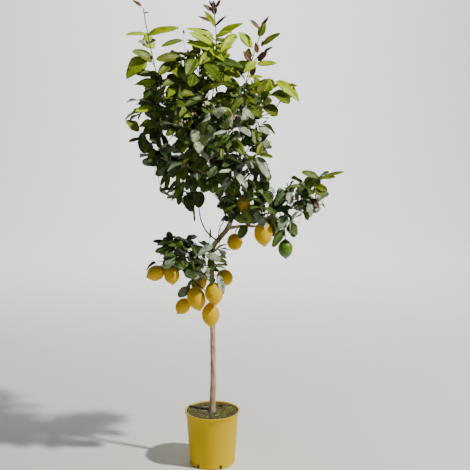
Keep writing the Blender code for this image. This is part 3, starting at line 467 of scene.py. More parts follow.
# Leaves that stand out in the photograph, by their places in it in pixels: where the blade starts and ends,
# its width, the distances of both ends behind the trunk in metres, its tint, and its arch in radians
Shown = namedtuple("Shown", "root tip width behind tint arch")
SHOWN = [Shown(*row) for row in [
    # left shoot, from the top down
    ((141.7, 6.7), (132.2, 0), 3.7, (-0.03, -0.034), "bronze", 0.18),
    ((144.3, 13.4), (149, 12.1), 2.0, (-0.026, -0.03), "purple", 0.12),
    ((146.3, 34.5), (124.8, 34.9), 5.2, (-0.026, -0.05), "young", 0.3),
    ((147.3, 34.9), (180.1, 28), 8.9, (-0.026, -0.06), "young", 0.3),
    ((148.6, 42.8), (138.1, 41.7), 5.6, (-0.03, -0.05), "pale", 0.18),
    ((148.6, 43.4), (156.2, 40.3), 5.0, (-0.03, -0.052), "pale", 0.18),
    ((152.2, 60.9), (132, 51.8), 12.5, (-0.028, -0.06), "olive", 0.42),
    ((145.2, 57.5), (126.5, 78.9), 16.3, (-0.04, -0.07), "fresh", 0.3),
    ((155.8, 74.8), (135.2, 73.7), 7.2, (-0.028, -0.06), "olive", 0.24),
    ((158.4, 80), (155.2, 75.7), 2.8, (-0.028, -0.03), "purple", 0.12),
    ((159.5, 75.9), (160.9, 71), 2.2, (-0.028, -0.03), "purple", 0.12),
    ((156, 81.5), (134.1, 84.8), 9.1, (-0.03, -0.05), "young", 0.24),
    # second stem
    ((184.2, 34.2), (183.1, 29.3), 1.7, (-0.02, -0.02), "purple", 0.06),
    ((182.7, 40.3), (161.2, 46.8), 6.1, (-0.02, -0.05), "olive", 0.3),
    # centre shoot
    ((214.6, 15.2), (212.9, 0), 5.9, (-0.004, -0.004), "purple", 0.06),
    ((212.6, 8.1), (208.9, 0), 2.6, (-0.004, -0.002), "purple", 0.06),
    ((216.2, 7.4), (220.8, -0.9), 3.0, (-0.004, -0.002), "purple", 0.06),
    ((213.7, 11.7), (202.4, 4.6), 4.6, (-0.004, -0.014), "bronze", 0.12),
    ((214.8, 26.6), (203.9, 10.6), 6.3, (-0.004, -0.03), "fresh", 0.18),
    ((213.5, 22.2), (197.6, 16.3), 3.9, (-0.004, -0.012), "bronze", 0.12),
    ((215.2, 26), (227.8, 15), 3.3, (-0.004, -0.02), "purple", 0.12),
    ((212.9, 34.7), (185.5, 28.4), 6.9, (-0.002, -0.03), "young", 0.24),
    ((213.7, 45), (188.3, 32.5), 9.1, (-0.002, -0.05), "young", 0.24),
    ((214, 49.3), (185.3, 42.8), 10.4, (-0.006, -0.04), "young", 0.24),
    ((215.9, 36.3), (233, 32.5), 6.3, (-0.002, -0.04), "young", 0.3),
    ((216.7, 37.4), (244.1, 23), 9.1, (-0.002, -0.03), "young", 0.18),
    ((236.2, 34.2), (220.2, 51.6), 10.0, (-0.01, -0.06), "young", 0.24),
    ((252.3, 47.2), (238.4, 32.1), 10.0, (-0.012, -0.03), "young", 0.18),
    ((208.9, 49.3), (224.5, 61.6), 7.2, (-0.02, -0.07), "young", 0.24),
    ((210.8, 52), (199, 65), 10.0, (-0.02, -0.07), "fresh", 0.24),
    ((200.7, 54.7), (198.5, 67), 6.3, (-0.02, -0.07), "young", 0.18),
    # right shoots
    ((260.7, 28.7), (269.3, 16), 3.9, (-0.03, -0.028), "purple", 0.06),
    ((259.7, 29.3), (249.7, 19.3), 4.6, (-0.03, -0.03), "bronze", 0.06),
    ((259, 36.6), (265.7, 22.8), 7.2, (-0.03, -0.04), "fresh", 0.12),
    ((262.5, 45), (280.5, 33.4), 6.7, (-0.034, -0.04), "olive", 0.18),
    ((262, 46.6), (262.9, 40.1), 2.6, (-0.034, -0.036), "purple", 0.06),
    ((257.4, 53.1), (255.3, 42.1), 4.6, (-0.034, -0.038), "bronze", 0.06),
    ((263.9, 52), (273.3, 46.4), 3.0, (-0.034, -0.03), "purple", 0.06),
    ((257.9, 60.9), (267.5, 51.2), 6.7, (-0.034, -0.044), "bronze", 0.12),
    ((251.6, 63.4), (243, 50.7), 6.1, (-0.036, -0.042), "bronze", 0.12),
    ((257.1, 64), (277.7, 63.3), 6.9, (-0.036, -0.046), "young", 0.18),
    ((255.5, 61.8), (243.6, 72.4), 8.7, (-0.036, -0.06), "young", 0.24),
    ((250.9, 75.3), (255.8, 66.3), 5.6, (-0.04, -0.046), "bronze", 0.12),
    ((248, 76.4), (264, 77.2), 4.8, (-0.04, -0.05), "young", 0.18),
    ((241.7, 74.8), (238.4, 69.9), 2.8, (-0.04, -0.04), "purple", 0.06),
    # second row of the crown's top
    ((184.2, 58.5), (156, 59.6), 9.8, (-0.05, -0.09), "olive", 0.54),
    ((175.5, 60.7), (158.4, 74.8), 10.0, (-0.05, -0.1), "olive", 0.36),
    ((168.2, 65), (179, 77.6), 7.8, (-0.06, -0.1), "fresh", 0.3),
    ((195, 59.1), (186.4, 74.8), 13.0, (-0.06, -0.11), "mid", 0.36),
    ((204.8, 64), (221.9, 82.9), 13.0, (-0.06, -0.13), "mid", 0.3),
    ((212.4, 60.2), (243.3, 67.8), 10.0, (-0.05, -0.09), "deep", 0.36),
    ((231.9, 70.5), (224.3, 82.4), 10.0, (-0.06, -0.1), "fresh", 0.3),
    ((194, 74.8), (190.7, 86.7), 13.0, (-0.07, -0.12), "mid", 0.3),
    ((200.5, 90), (220.5, 85.6), 7.8, (-0.08, -0.11), "fresh", 0.18),
    ((177.7, 78.6), (162.5, 85.6), 8.0, (-0.07, -0.11), "mid", 0.36),
    ((175.5, 86.7), (167.9, 97.6), 8.7, (-0.07, -0.11), "fresh", 0.36),
    ((157.1, 93.2), (143, 97.6), 9.8, (-0.06, -0.08), "deep", 0.36),
    # right side of the crown
    ((276.2, 81.4), (299.3, 101.9), 11.5, (-0.03, -0.06), "young", 0.78),
    ((272.8, 92.6), (289.6, 103.9), 12.6, (-0.034, -0.08), "olive", 0.36),
    ((265.2, 105.4), (277, 116.1), 12.1, (-0.04, -0.08), "olive", 0.3),
    ((261.7, 101.1), (269.5, 91.4), 6.9, (-0.04, -0.05), "deep", 0.24),
    ((267.8, 91.6), (268.9, 79.7), 9.5, (-0.036, -0.06), "young", 0.24),
    ((268.6, 89.1), (279.4, 84.9), 5.1, (-0.036, -0.06), "young", 0.24),
    ((247.1, 88.8), (263, 82.9), 5.7, (-0.04, -0.06), "fresh", 0.42),
    ((248, 90.6), (260.8, 94.6), 5.1, (-0.044, -0.09), "olive", 0.36),
    ((246.8, 94.2), (256.3, 104.4), 6.0, (-0.06, -0.1), "mid", 0.3),
    ((249.7, 92.8), (259.2, 102.6), 5.7, (-0.05, -0.07), "dark", 0.3),
    ((245.1, 107.1), (261.7, 117.6), 10.3, (-0.08, -0.12), "mid", 0.36),
    ((242.5, 108.9), (254, 119.2), 6.2, (-0.13, -0.16), "sheen", 0.3),
    ((259.4, 126.7), (269.1, 134.1), 8.6, (-0.06, -0.09), "sheen", 0.3),
    ((261.7, 142.2), (257.7, 155.5), 7.5, (-0.05, -0.08), "olive", 0.24),
    ((259.3, 154.9), (272.9, 157.5), 5.5, (-0.06, -0.08), "mid", 0.36),
    ((243.9, 135.6), (247.1, 146.1), 5.7, (-0.06, -0.08), "deep", 0.18),
    ((253.7, 129.2), (256.3, 144.7), 8.6, (-0.07, -0.1), "mid", 0.24),
    ((262.6, 123.1), (267.9, 120.6), 1.7, (-0.06, -0.06), "purple", 0.06),
    ((257.1, 137), (260.6, 141), 3.8, (-0.08, -0.1), "sheen", 0.18),
    # right arm
    ((256.8, 157), (268.5, 178.5), 10.4, (-0.06, -0.1), "sage", 0.36),
    ((255, 180), (262.2, 194.5), 6.7, (-0.06, -0.09), "mid", 0.36),
    ((318.3, 178.2), (301.4, 172.3), 7.5, (-0.036, -0.05), "mid", 0.48),
    ((305.3, 186.4), (314.7, 178.2), 6.7, (-0.04, -0.05), "mid", 0.18),
    ((322.3, 177.6), (344.6, 171.9), 4.0, (-0.03, -0.03), "olive", 0.54),
    ((320.3, 178.5), (335.7, 177.1), 4.4, (-0.034, -0.04), "olive", 0.3),
    ((315.6, 186.7), (327.2, 191), 7.9, (-0.036, -0.06), "olive", 0.48),
    ((316.2, 186.1), (321.7, 196.1), 9.1, (-0.036, -0.07), "olive", 0.3),
    ((308.3, 187.6), (316.5, 183.9), 4.2, (-0.04, -0.05), "mid", 0.18),
    ((303.5, 186.1), (288, 187), 4.0, (-0.04, -0.06), "mid", 0.36),
    ((288.9, 188.5), (286.2, 182.4), 1.5, (-0.036, -0.036), "deep", 0.12),
    ((286.8, 190.6), (274.7, 206.4), 9.7, (-0.044, -0.08), "dark", 0.36),
    ((288.9, 192.1), (290.5, 204.8), 7.9, (-0.05, -0.09), "pale", 0.24),
    ((307.1, 201.8), (296.8, 204.8), 6.1, (-0.04, -0.06), "deep", 0.3),
    ((305.9, 201.8), (307.4, 220.6), 7.3, (-0.04, -0.07), "deep", 0.3),
    ((308.6, 202.4), (311.1, 216.7), 6.3, (-0.05, -0.09), "pale", 0.24),
    ((311.4, 198.8), (319, 208.8), 7.0, (-0.04, -0.06), "bronze", 0.24),
    ((321.4, 202.4), (325.1, 208), 1.7, (-0.04, -0.04), "deep", 0.3),
    ((302.6, 213.5), (295.2, 217.6), 1.6, (-0.04, -0.046), "deep", 0.12),
    ((291.4, 207), (273.2, 211.5), 6.1, (-0.044, -0.06), "dark", 0.3),
    ((285.3, 215.5), (278.8, 229), 10.0, (-0.06, -0.09), "sage", 0.24),
    ((291.4, 222.1), (294.1, 237.5), 9.1, (-0.05, -0.08), "deep", 0.3),
    ((284.4, 229.1), (272.5, 247.2), 7.9, (-0.056, -0.08), "deep", 0.24),
    ((255, 212.4), (265.6, 227.9), 9.1, (-0.09, -0.12), "pale", 0.3),
    # left side of the crown
    ((154.4, 102.6), (142.6, 93.3), 8.6, (-0.04, -0.06), "mid", 0.3),
    ((153.8, 107.7), (134.9, 111.4), 8.6, (-0.044, -0.08), "young", 0.36),
    ((139.4, 130.4), (125.3, 120.9), 10.3, (-0.05, -0.07), "olive", 0.42),
    ((155.7, 123.8), (138.8, 127), 10.9, (-0.044, -0.08), "fresh", 0.36),
    ((154.7, 125.5), (143.2, 135.4), 8.6, (-0.04, -0.06), "deep", 0.24),
    ((141.4, 138.3), (128.2, 141.7), 4.1, (-0.04, -0.05), "mid", 0.36),
    ((141.2, 137.9), (145.5, 153.8), 9.8, (-0.044, -0.07), "deep", 0.36),
    ((154.4, 148.5), (148.4, 159.5), 6.3, (-0.05, -0.08), "olive", 0.18),
    ((154.4, 102.3), (165.5, 85.8), 7.5, (-0.04, -0.05), "mid", 0.3),
    ((175.2, 117.6), (162.4, 115.2), 4.8, (-0.08, -0.1), "pale", 0.36),
    ((193.8, 115.2), (183.6, 117.2), 6.0, (-0.11, -0.13), "young", 0.48),
    ((187.7, 125.8), (196.6, 120.1), 6.9, (-0.11, -0.13), "fresh", 0.3),
    ((196.3, 129.8), (194.3, 142.7), 10.0, (-0.15, -0.18), "sheen", 0.24),
    ((196.3, 141.6), (200.7, 153.8), 8.9, (-0.15, -0.18), "sheen", 0.24),
    ((200.4, 151.9), (210, 160), 5.2, (-0.15, -0.17), "sheen", 0.18),
    ((182, 127.8), (180.3, 140.4), 10.9, (-0.1, -0.12), "deep", 0.18),
    ((176.3, 127.8), (165.9, 135.8), 6.9, (-0.1, -0.12), "mid", 0.24),
    # lower left of the crown
    ((167.6, 171.4), (160.4, 185.8), 4.0, (-0.04, -0.05), "deep", 0.24),
    ((168.9, 175.3), (165.5, 190.1), 4.8, (-0.04, -0.05), "mid", 0.3),
    ((177.4, 179.9), (168.1, 192.1), 3.8, (-0.04, -0.05), "mid", 0.48),
    ((179.7, 185.6), (175.4, 198.3), 5.7, (-0.044, -0.06), "mid", 0.18),
    ((179.7, 194.8), (178.7, 205.2), 5.3, (-0.044, -0.06), "deep", 0.18),
    ((186, 194.8), (192, 212), 10.0, (-0.05, -0.09), "deep", 0.18),
    ((199.2, 191.3), (198.4, 208.1), 11.5, (-0.05, -0.08), "dark", 0.18),
    ((165.6, 161.5), (156.7, 168.9), 7.5, (-0.044, -0.06), "deep", 0.24),
    # low cluster
    ((174.4, 240.6), (156.8, 245), 4.4, (-0.05, -0.06), "dark", 0.3),
    ((167, 247), (155.8, 251.6), 4.4, (-0.05, -0.06), "deep", 0.24),
    ((212.4, 245), (197.6, 256.2), 8.0, (-0.08, -0.1), "pale", 0.3),
    ((205.6, 254.6), (220.8, 260.6), 8.0, (-0.08, -0.1), "pale", 0.3),
    ((213.6, 258), (227.2, 262.6), 4.4, (-0.07, -0.08), "deep", 0.3),
    ((210, 258), (212.4, 272.2), 7.2, (-0.08, -0.1), "deep", 0.18),
    ((200.4, 270.6), (197.6, 282.6), 8.0, (-0.07, -0.1), "pale", 0.18),
    ((218.8, 275.6), (222.8, 294.6), 8.0, (-0.07, -0.09), "pale", 0.18),
    ((190, 287.4), (178, 296.6), 8.8, (-0.05, -0.06), "sage", 0.3),
    ((246.4, 225.4), (238.8, 238.6), 8.4, (-0.07, -0.085), "deep", 0.24),
    ((280, 232.6), (273.4, 247), 6.8, (-0.07, -0.09), "deep", 0.18),
    ((287, 226.6), (297.2, 235), 8.8, (-0.06, -0.08), "deep", 0.3),
    # middle of the crown
    ((203.5, 97.5), (184.5, 106), 9.0, (-0.10, -0.14), "deep", 0.3),
    ((222, 97.5), (208.5, 105), 6.2, (-0.12, -0.16), "mid", 0.4),
    ((238.5, 95), (221, 95.5), 6.0, (-0.10, -0.13), "mid", 0.3),
    ((243, 98), (231, 110.5), 7.6, (-0.11, -0.14), "mid", 0.3),
    ((217.5, 121), (209, 134), 9.4, (-0.13, -0.16), "dark", 0.3),
    ((228.5, 131.5), (213, 134.6), 4.2, (-0.15, -0.18), "pale", 0.3),
    ((228.5, 133.5), (214, 147), 11.0, (-0.13, -0.16), "deep", 0.3),
    ((231.5, 127), (229, 119.5), 5.6, (-0.14, -0.16), "sage", 0.2),
    ((232.5, 114.2), (237, 109), 4.2, (-0.13, -0.14), "pale", 0.2),
    ((240.5, 127.5), (250.5, 136.5), 7.6, (-0.12, -0.15), "pale", 0.3),
    ((233, 141), (243.5, 155.5), 10.0, (-0.11, -0.14), "mid", 0.3),
    ((203, 157), (192, 171), 11.4, (-0.13, -0.17), "deep", 0.3),
    ((216.5, 166.5), (208.5, 178), 9.4, (-0.12, -0.15), "dark", 0.2),
    ((211, 176.5), (214, 193.5), 11.6, (-0.10, -0.13), "deep", 0.3),
    ((232, 171), (218.8, 172.6), 5.4, (-0.12, -0.15), "sheen", 0.35),
    ((233.5, 172), (247.2, 188), 7.4, (-0.12, -0.15), "pale", 0.5),
    ((228.5, 177), (221.6, 188), 3.4, (-0.12, -0.13), "sage", 0.2),
    ((230.5, 181), (224, 190.5), 3.4, (-0.11, -0.12), "pale", 0.2),
    ((234, 178.5), (236.5, 194), 9.0, (-0.09, -0.11), "deep", 0.3),
    ((222, 148.5), (221.6, 158.5), 4.6, (-0.12, -0.14), "olive", 0.4),
    ((231.5, 160), (222.3, 167), 7.4, (-0.11, -0.14), "dark", 0.3),
    ((240.8, 165.8), (236.4, 168.6), 3.0, (-0.11, -0.12), "pale", 0.2),
    ((190, 140.5), (180.5, 153), 7.4, (-0.10, -0.13), "mid", 0.3),
    ((190.5, 153), (183.5, 163.5), 5.6, (-0.10, -0.13), "olive", 0.3),
    ((197, 172), (199.5, 186.8), 5.6, (-0.10, -0.12), "deep", 0.3),
    # the dense end of the left tail
    ((190, 176), (186.5, 190.5), 6.8, (-0.08, -0.10), "dark", 0.25),
    ((194.5, 177), (194, 191.5), 7.6, (-0.06, -0.08), "dark", 0.25),
    ((202, 179), (204, 193), 7.2, (-0.08, -0.10), "deep", 0.25),
    ((192.5, 192), (195, 204), 6.6, (-0.04, -0.05), "dark", 0.2),
    ((187, 167), (182.5, 181), 7.0, (-0.08, -0.10), "deep", 0.25),
    ((181.5, 169), (177, 182), 6.2, (-0.07, -0.09), "mid", 0.25),
    ((183.5, 181), (181, 192), 5.2, (-0.05, -0.06), "deep", 0.3),
    # young leaf at the fork
    ((209.8, 239.5), (210.8, 227.5), 2.0, (-0.01, -0.01), "fresh", 0.1),
]]
# They are drawn this much wider than measured, and face this way. A twig to one that is longer than this
# is as thick as a side twig. Grown leaves leave two discs on each in view, this share of its width in radius
SHOWN_WIDER = 1.12
SHOWN_FACE = (0.12, -0.78, 0.62)
LONG_TWIG = 0.02
SHOWN_CLEAR = 0.55

# Clusters of blossom: a pixel of the photograph, how far behind the trunk, the number of buds and of open
# flowers. Each is carried by a twig from the nearest wood
Cluster = namedtuple("Cluster", "pixel behind buds open")
CLUSTERS = [
    Cluster((215, 109), -0.165, 3, 2), Cluster((206, 105), -0.15, 4, 1), Cluster((191.5, 118), -0.15, 3, 0),
    Cluster((197, 116), -0.15, 2, 0), Cluster((233, 118), -0.15, 3, 1), Cluster((231.5, 133), -0.16, 4, 1),
    Cluster((239, 139), -0.13, 3, 0), Cluster((185, 123), -0.14, 4, 1), Cluster((233, 181), -0.12, 3, 0),
    Cluster((240, 113), -0.14, 2, 1), Cluster((262, 103), -0.09, 3, 0), Cluster((240, 125), 0.12, 4, 1),
    Cluster((170, 105), 0.11, 4, 1), Cluster((205, 135), 0.17, 3, 1), Cluster((305, 200), -0.05, 3, 0),
]

# Open sky in and round the crown, as discs in the photograph: middle and radius in pixels
SKY = [
    # round the shoots
    ((140, 25), 8), ((137, 5), 8), ((163, 18), 12), ((222, 6), 9), ((204, 9), 9), ((214, 20), 8),
    ((195, 27), 6), ((190, 12), 9), ((180, 47), 7), ((231, 17), 8), ((250, 31), 6), ((237, 55), 5),
    ((282, 47), 9), ((285, 70), 8), ((262, 75), 4), ((124, 28), 6), ((166, 52), 4),
    # left of the crown
    ((133, 92), 8), ((128, 109), 6), ((125, 160), 10), ((133, 175), 15), ((148, 184), 11),
    ((158, 199), 6), ((170, 215), 10), ((184, 218), 8), ((152, 171), 5), ((159, 177), 4),
    ((165, 204), 5), ((135, 145), 4),
    # under and right of the crown
    ((210, 217), 10), ((210, 199), 7), ((275, 120), 6), ((282, 150), 10), ((274, 140), 5),
    ((277, 166), 7), ((271, 161), 3),
    # round the right arm
    ((283, 180), 6), ((275, 184), 5), ((298, 171), 7), ((331, 185), 6), ((342, 192), 10),
    ((296, 212), 3), ((335, 208), 11), ((327, 225), 17), ((308, 228), 10),
    # round the low leaves
    ((147, 254), 9), ((158, 261), 5), ((184, 231), 7), ((233, 262), 4), ((230, 256), 4),
    ((186, 282), 4),
    # gaps inside the crown
    ((166, 75), 4), ((197, 70), 4), ((204, 75), 3), ((208, 96), 5), ((214, 92), 4), ((225, 91), 3),
    ((241, 82), 4), ((227, 103), 3), ((190, 103), 3.5), ((176, 103), 3), ((210, 118), 2.5),
    ((206, 121.5), 2), ((237, 137), 2), ((242, 142), 2.5), ((224, 141), 1.5), ((188, 150), 2.5),
    ((178.5, 154.5), 2), ((176, 161), 2.5), ((183, 165.5), 2.5), ((184, 177), 2), ((182, 187), 3),
    ((182, 198), 3), ((241, 160), 3), ((236, 193), 2.5), ((247, 102), 3), ((191, 90), 3),
    ((157, 104), 3), ((169, 131), 4), ((156, 121), 3), ((171, 140), 4), ((250, 151), 5),
    ((171, 184), 4), ((186, 160), 3), ((225, 152), 3), ((236, 178), 3),
]

# What one mass has grown: its stem, twigs, stalks and side twigs
Growth = namedtuple("Growth", "mass stem radii twigs stalks sides")
# A leaf as it is drawn: the blade's root and tip, the way its face looks, its width, tint and arch
Blade = namedtuple("Blade", "root tip face width tint arch")
# A leaf as it is placed: its blade, the spot that holds it, its middle and reach, and its plain form
Leaf = namedtuple("Leaf", "blade spot middle reach solid")


# Lines and round forms


def bezier(start, bend, end, share):
    """A point of the quadratic curve from start to end that is drawn towards bend."""
    rest = 1 - share
    return start * rest * rest + bend * 2 * rest * share + end * share * share


def curve_points(start, bend, end, count):
    return [bezier(start, bend, end, i / (count - 1)) for i in range(count)]


def spline_through(form, step):
    """Points and radii along the smooth curve through a limb's bends, about step apart."""
    places = [Vector(place) for place, _ in form]
    radii = [radius for _, radius in form]
    points, widths = [], []
    for i in range(len(places) - 1):
        before = places[max(i - 1, 0)]
        here, ahead = places[i], places[i + 1]
        after = places[min(i + 2, len(places) - 1)]
        pieces = max(1, round((ahead - here).length / step))
        for k in range(pieces):
            t = k / pieces
            straight = (ahead - before) * t
            square = (2 * before - 5 * here + 4 * ahead - after) * t * t
            cube = (3 * here - before - 3 * ahead + after) * t * t * t
            points.append(0.5 * (2 * here + straight + square + cube))
            widths.append(radii[i] + (radii[i + 1] - radii[i]) * t)
    return points + [places[-1]], widths + [radii[-1]]


def fine_line(path, step):
    """The same line with points about step apart, rounded at its corners."""
    form = [(tuple(point), 0.0) for point in path]
    return spline_through(form, step)[0]


def point_at(path, share):
    """The point at a share of a path's points, and the path's direction there."""
    spot = min(max(share, 0.0), 1.0) * (len(path) - 1)
    i = min(int(spot), len(path) - 2)
    along = path[i + 1] - path[i]
    return path[i] + along * (spot - i), along.normalized()


def dense(path, pieces=8):
    for i in range(len(path) - 1):
        for k in range(pieces):
            yield path[i].lerp(path[i + 1], k / pieces)


def scatter(rng, reach=1):
    """A random shift, up to reach along each axis."""
    return Vector(rng.uniform(-reach, reach) for _ in range(3))


def tapered(count, first, last):
    return [first + (last - first) * i / (count - 1) for i in range(count)]


def side_of(direction):
    """A unit vector square to direction."""
    other = Vector((1, 0, 0)) if abs(direction.x) < 0.8 else Vector((0, 1, 0))
    return direction.cross(other).normalized()


def way_round(along, turn):
    """A unit vector square to a direction, turned round it."""
    side = side_of(along)
    return side * math.cos(turn) + along.cross(side) * math.sin(turn)


def spokes(side, along, count):
    """Unit vectors evenly round a direction, the first of them side."""
    other = along.cross(side)
    turns = [2 * math.pi * k / count for k in range(count)]
    return [side * math.cos(turn) + other * math.sin(turn) for turn in turns]


def tube_faces(rings, sides):
    """The faces between rings of corners that follow one another."""
    faces = []
    for low in range(0, (rings - 1) * sides, sides):
        for k in range(sides):
            after = (k + 1) % sides
            faces.append((low + k, low + after, low + sides + after, low + sides + k))
    return faces


def round_faces(rings, sides, closed=True):
    """The faces of a body with a first corner, rings of corners and, where it is closed, a last corner."""
    faces = []
    last = 1 + (rings - 1) * sides
    for k in range(sides):
        after = (k + 1) % sides
        faces.append((0, 1 + after, 1 + k))
        for low in range(1, last, sides):
            faces.append((low + k, low + after, low + sides + after, low + sides + k))
        if closed:
            faces.append((last + k, last + after, last + sides))
    return faces


def turned_out(faces):
    """The same faces seen from the other side."""
    return [(face[0], *face[:0:-1]) for face in faces]


def tube_mesh(path, radii, sides, room):
    """The corners and faces of a tube round a path, room wider than its radii."""
    corners = []
    for i, (point, radius) in enumerate(zip(path, radii)):
        _, along = point_at(path, i / (len(path) - 1))
        corners += [point + out * (radius + room) for out in spokes(side_of(along), along, sides)]
    last = len(corners) - sides
    ends = [tuple(range(sides)), tuple(range(last, last + sides))]
    return corners, tube_faces(len(path), sides) + ends


def tree_of(meshes):
    """One search tree over several lists of corners and faces."""
    corners, faces = [], []
    for places, sides in meshes:
        faces += [tuple(len(corners) + i for i in face) for face in sides]
        corners += places
    return BVHTree.FromPolygons(corners, faces)


# The source's limbs, masses, twigs and stalks


def limb_paths():
    """Each limb's name with its points and radii, the trunk first."""
    limbs = {"trunk": spline_through(TRUNK_FORM, TRUNK_STEP)}
    for bough in BOUGHS:
        path, _ = limbs[bough.parent]
        if bough.parent == "trunk":
            start = min(dense(path), key=lambda p: abs(p.z - bough.at))
        else:
            start, _ = point_at(path, bough.at)
        end = start + Vector(bough.reach)
        bend = (start + end) / 2 + 2 * Vector(bough.bow)
        count = max(4, round(Vector(bough.reach).length / BOUGH_STEP) + 1)
        limbs[bough.name] = (curve_points(start, bend, end, count), tapered(count, *bough.radii))
    return limbs


def scaled_distance(mass, point):
    """How far a point is from a mass's middle, as a share of the way to the edge of its rounded box."""
    shares = [abs((value - middle) / half) for value, middle, half in zip(point, mass.centre, mass.radii)]
    return sum(share**BOXY for share in shares) ** (1 / BOXY)


def in_space(mass, point):
    own = scaled_distance(mass, point)
    if own > 1.0:
        return False
    return all(own + SPACE_MARGIN < scaled_distance(other, point) for other in MASSES if other is not mass)


def leaf_frame(root, direction, face, length):
    """The matrix that carries a leaf from its own axes, along +Y with its face up, to its place."""
    along = direction.normalized()
    across = along.cross(face).normalized()
    up = across.cross(along)
    turned_to = Matrix((across, along, up)).transposed().to_4x4()
    return Matrix.Translation(root) @ turned_to @ Matrix.Scale(length, 4)


def leaf_corners(frame, start=0.0):
    """The root, two corners in each row, and the tip. A start past 0 leaves the root end out."""
    local = [(0, start, 0)]
    for along, half in LEAF_ROWS:
        local += [(-half, along, LEAF_KEEL), (half, along, LEAF_KEEL)]
    return [frame @ Vector(place) for place in local + [(0, 1, 0)]]


def ball_mesh(fruit, room=0.0, around=8, rings=5):
    """The corners and faces of a lemon: a pole at its stalk, rings, and a pole at its drawn-out tip."""
    tip = Vector(fruit.tip).normalized()
    middle = Vector(fruit.middle)
    half = fruit.length / 2 + room
    corners = [middle - tip * half]
    for i in range(1, rings):
        turn = math.pi * i / rings
        across = (fruit.width / 2 + room) * math.sin(turn) ** (0.8 if i < rings / 2 else 1.15)
        centre = middle - tip * half * math.cos(turn) * (0.94 if i > rings / 2 else 1.0)
        corners += [centre + out * across for out in spokes(side_of(tip), tip, around)]
    corners.append(middle + tip * half)
    return corners, round_faces(rings - 1, around)


def mass_stem(mass, limbs):
    """The stem's points, from just clear of its bough's tip to past the mass's middle, and its radii."""
    path, radii = limbs[mass.bough]
    _, along = point_at(path, 1.0)
    start = path[-1] + along * GAP
    first = start + along * STEM_STRAIGHT
    centre = Vector(mass.centre)
    end = centre + (centre - start) * mass.run
    bend = first + along * (end - first).length * 0.4
    points = [start] + curve_points(first, bend, end, 5)
    return points, tapered(6, radii[-1], TWIG_R[0] * 1.1)


def twig_end(mass, way, reach):
    """The furthest place in a direction from the mass's middle that is still its own, or None."""
    while reach > 0.2:
        box = zip(mass.centre, mass.radii, way)
        place = Vector(middle + half * aim * reach for middle, half, aim in box)
        if in_space(mass, place):
            return place
        reach -= 0.08
    return None


def mass_twigs(mass, stem, others, rng):
    """Twigs from the stem to places spread evenly round the mass, where nothing else is in the way."""
    twigs = []
    for k in range(mass.twigs):
        height = 1 - 2 * (k + 0.5) / mass.twigs
        turn = k * GOLDEN + mass.seed
        flat = math.sqrt(1 - height * height)
        way = Vector((flat * math.cos(turn), flat * math.sin(turn), height))
        end = twig_end(mass, way, rng.uniform(*TWIG_REACH))
        if end is None:
            continue
        nearest = min(range(17), key=lambda i: (point_at(stem, i / 16)[0] - end).length)
        for back in (0.22, 0.34, 0.10, 0.46):
            start, along = point_at(stem, min(0.96, max(0.24, nearest / 16 - back)))
            span = (end - start).length
            bend = start.lerp(end, 0.5) + along * span * 0.20 + UP * span * (0.12 - 0.10 * mass.droop)
            path = curve_points(start, bend, end, 3)
            clear = not tree_of([tube_mesh(path, [TWIG_R[0]] * 3, 3, LIMB_ROOM)]).overlap(others)
            if span > 0.03 and clear:
                twigs.append(path)
                break
    return twigs


def leaf_pose(mass, path, share, turn, rng):
    """The way a leaf points and the way its face looks, by where on its twig it is."""
    spot, along = point_at(path, share)
    angle = math.radians(rng.uniform(50, 80) - 34 * share)
    away = spot - Vector(mass.centre)
    away = away.normalized() if away.length > 0.001 else UP
    way = along * math.cos(angle) + way_round(along, turn) * math.sin(angle) + away * 0.35
    way -= UP * (mass.droop + rng.uniform(-0.2, 0.2))
    way.normalize()
    face = UP * (1 - LEAF_HANG * 0.5) + away * LEAF_HANG
    face += scatter(rng, 0.45)
    return way, face - way * face.dot(way)


def fruit_stalk(fruit, stem, twigs, others):
    """A stalk's points, from the nearest wood with a clear way to just inside the lemon's shoulder."""
    tip = Vector(fruit.tip).normalized()
    top = Vector(fruit.middle) - tip * (fruit.length / 2)
    wood = [p for path in twigs + [stem] for p in list(dense(path, 6))[3:]]
    for start in sorted(wood, key=lambda p: (p - top).length + 2 * max(0, top.z - 0.01 - p.z)):
        for lift in (0.45, 0.25, 0.75):
            bend = top - tip * max(0.010, (start - top).length * lift)
            path = curve_points(start, bend, top + tip * FRUIT_SINK, 4)
            if not tree_of([tube_mesh(path, [STALK_R] * 4, 3, LIMB_ROOM)]).overlap(others):
                return path
    return path


def wall_radius(z):
    """The pot's outer radius under its lip, which narrows evenly down to the base corner."""
    top = POT_H - LIP_H
    upper, lower = RIM_D / 2 - LIP_OUT, BASE_D / 2
    return lower + (upper - lower) * (z - CORNER_R) / (top - CORNER_R)


def inner_radius(z):
    """The pot's inner radius, which opens out at the lip."""
    lip_z = POT_H - LIP_H
    if z < lip_z:
        return wall_radius(z) - WALL_T
    low = wall_radius(lip_z) - WALL_T
    return low + (RIM_D / 2 - LIP_TOP - low) * (z - lip_z) / LIP_H


# The photograph's view


def pixel_of(point):
    """Where a place falls in the photograph."""
    ray = point - Vector(CAMERA_PLACE)
    depth = ray.y * math.sin(CAMERA_TILT) - ray.z * math.cos(CAMERA_TILT)
    lift = ray.y * math.cos(CAMERA_TILT) + ray.z * math.sin(CAMERA_TILT)
    return PICTURE / 2 + FOCUS * ray.x / depth, PICTURE / 2 - FOCUS * lift / depth


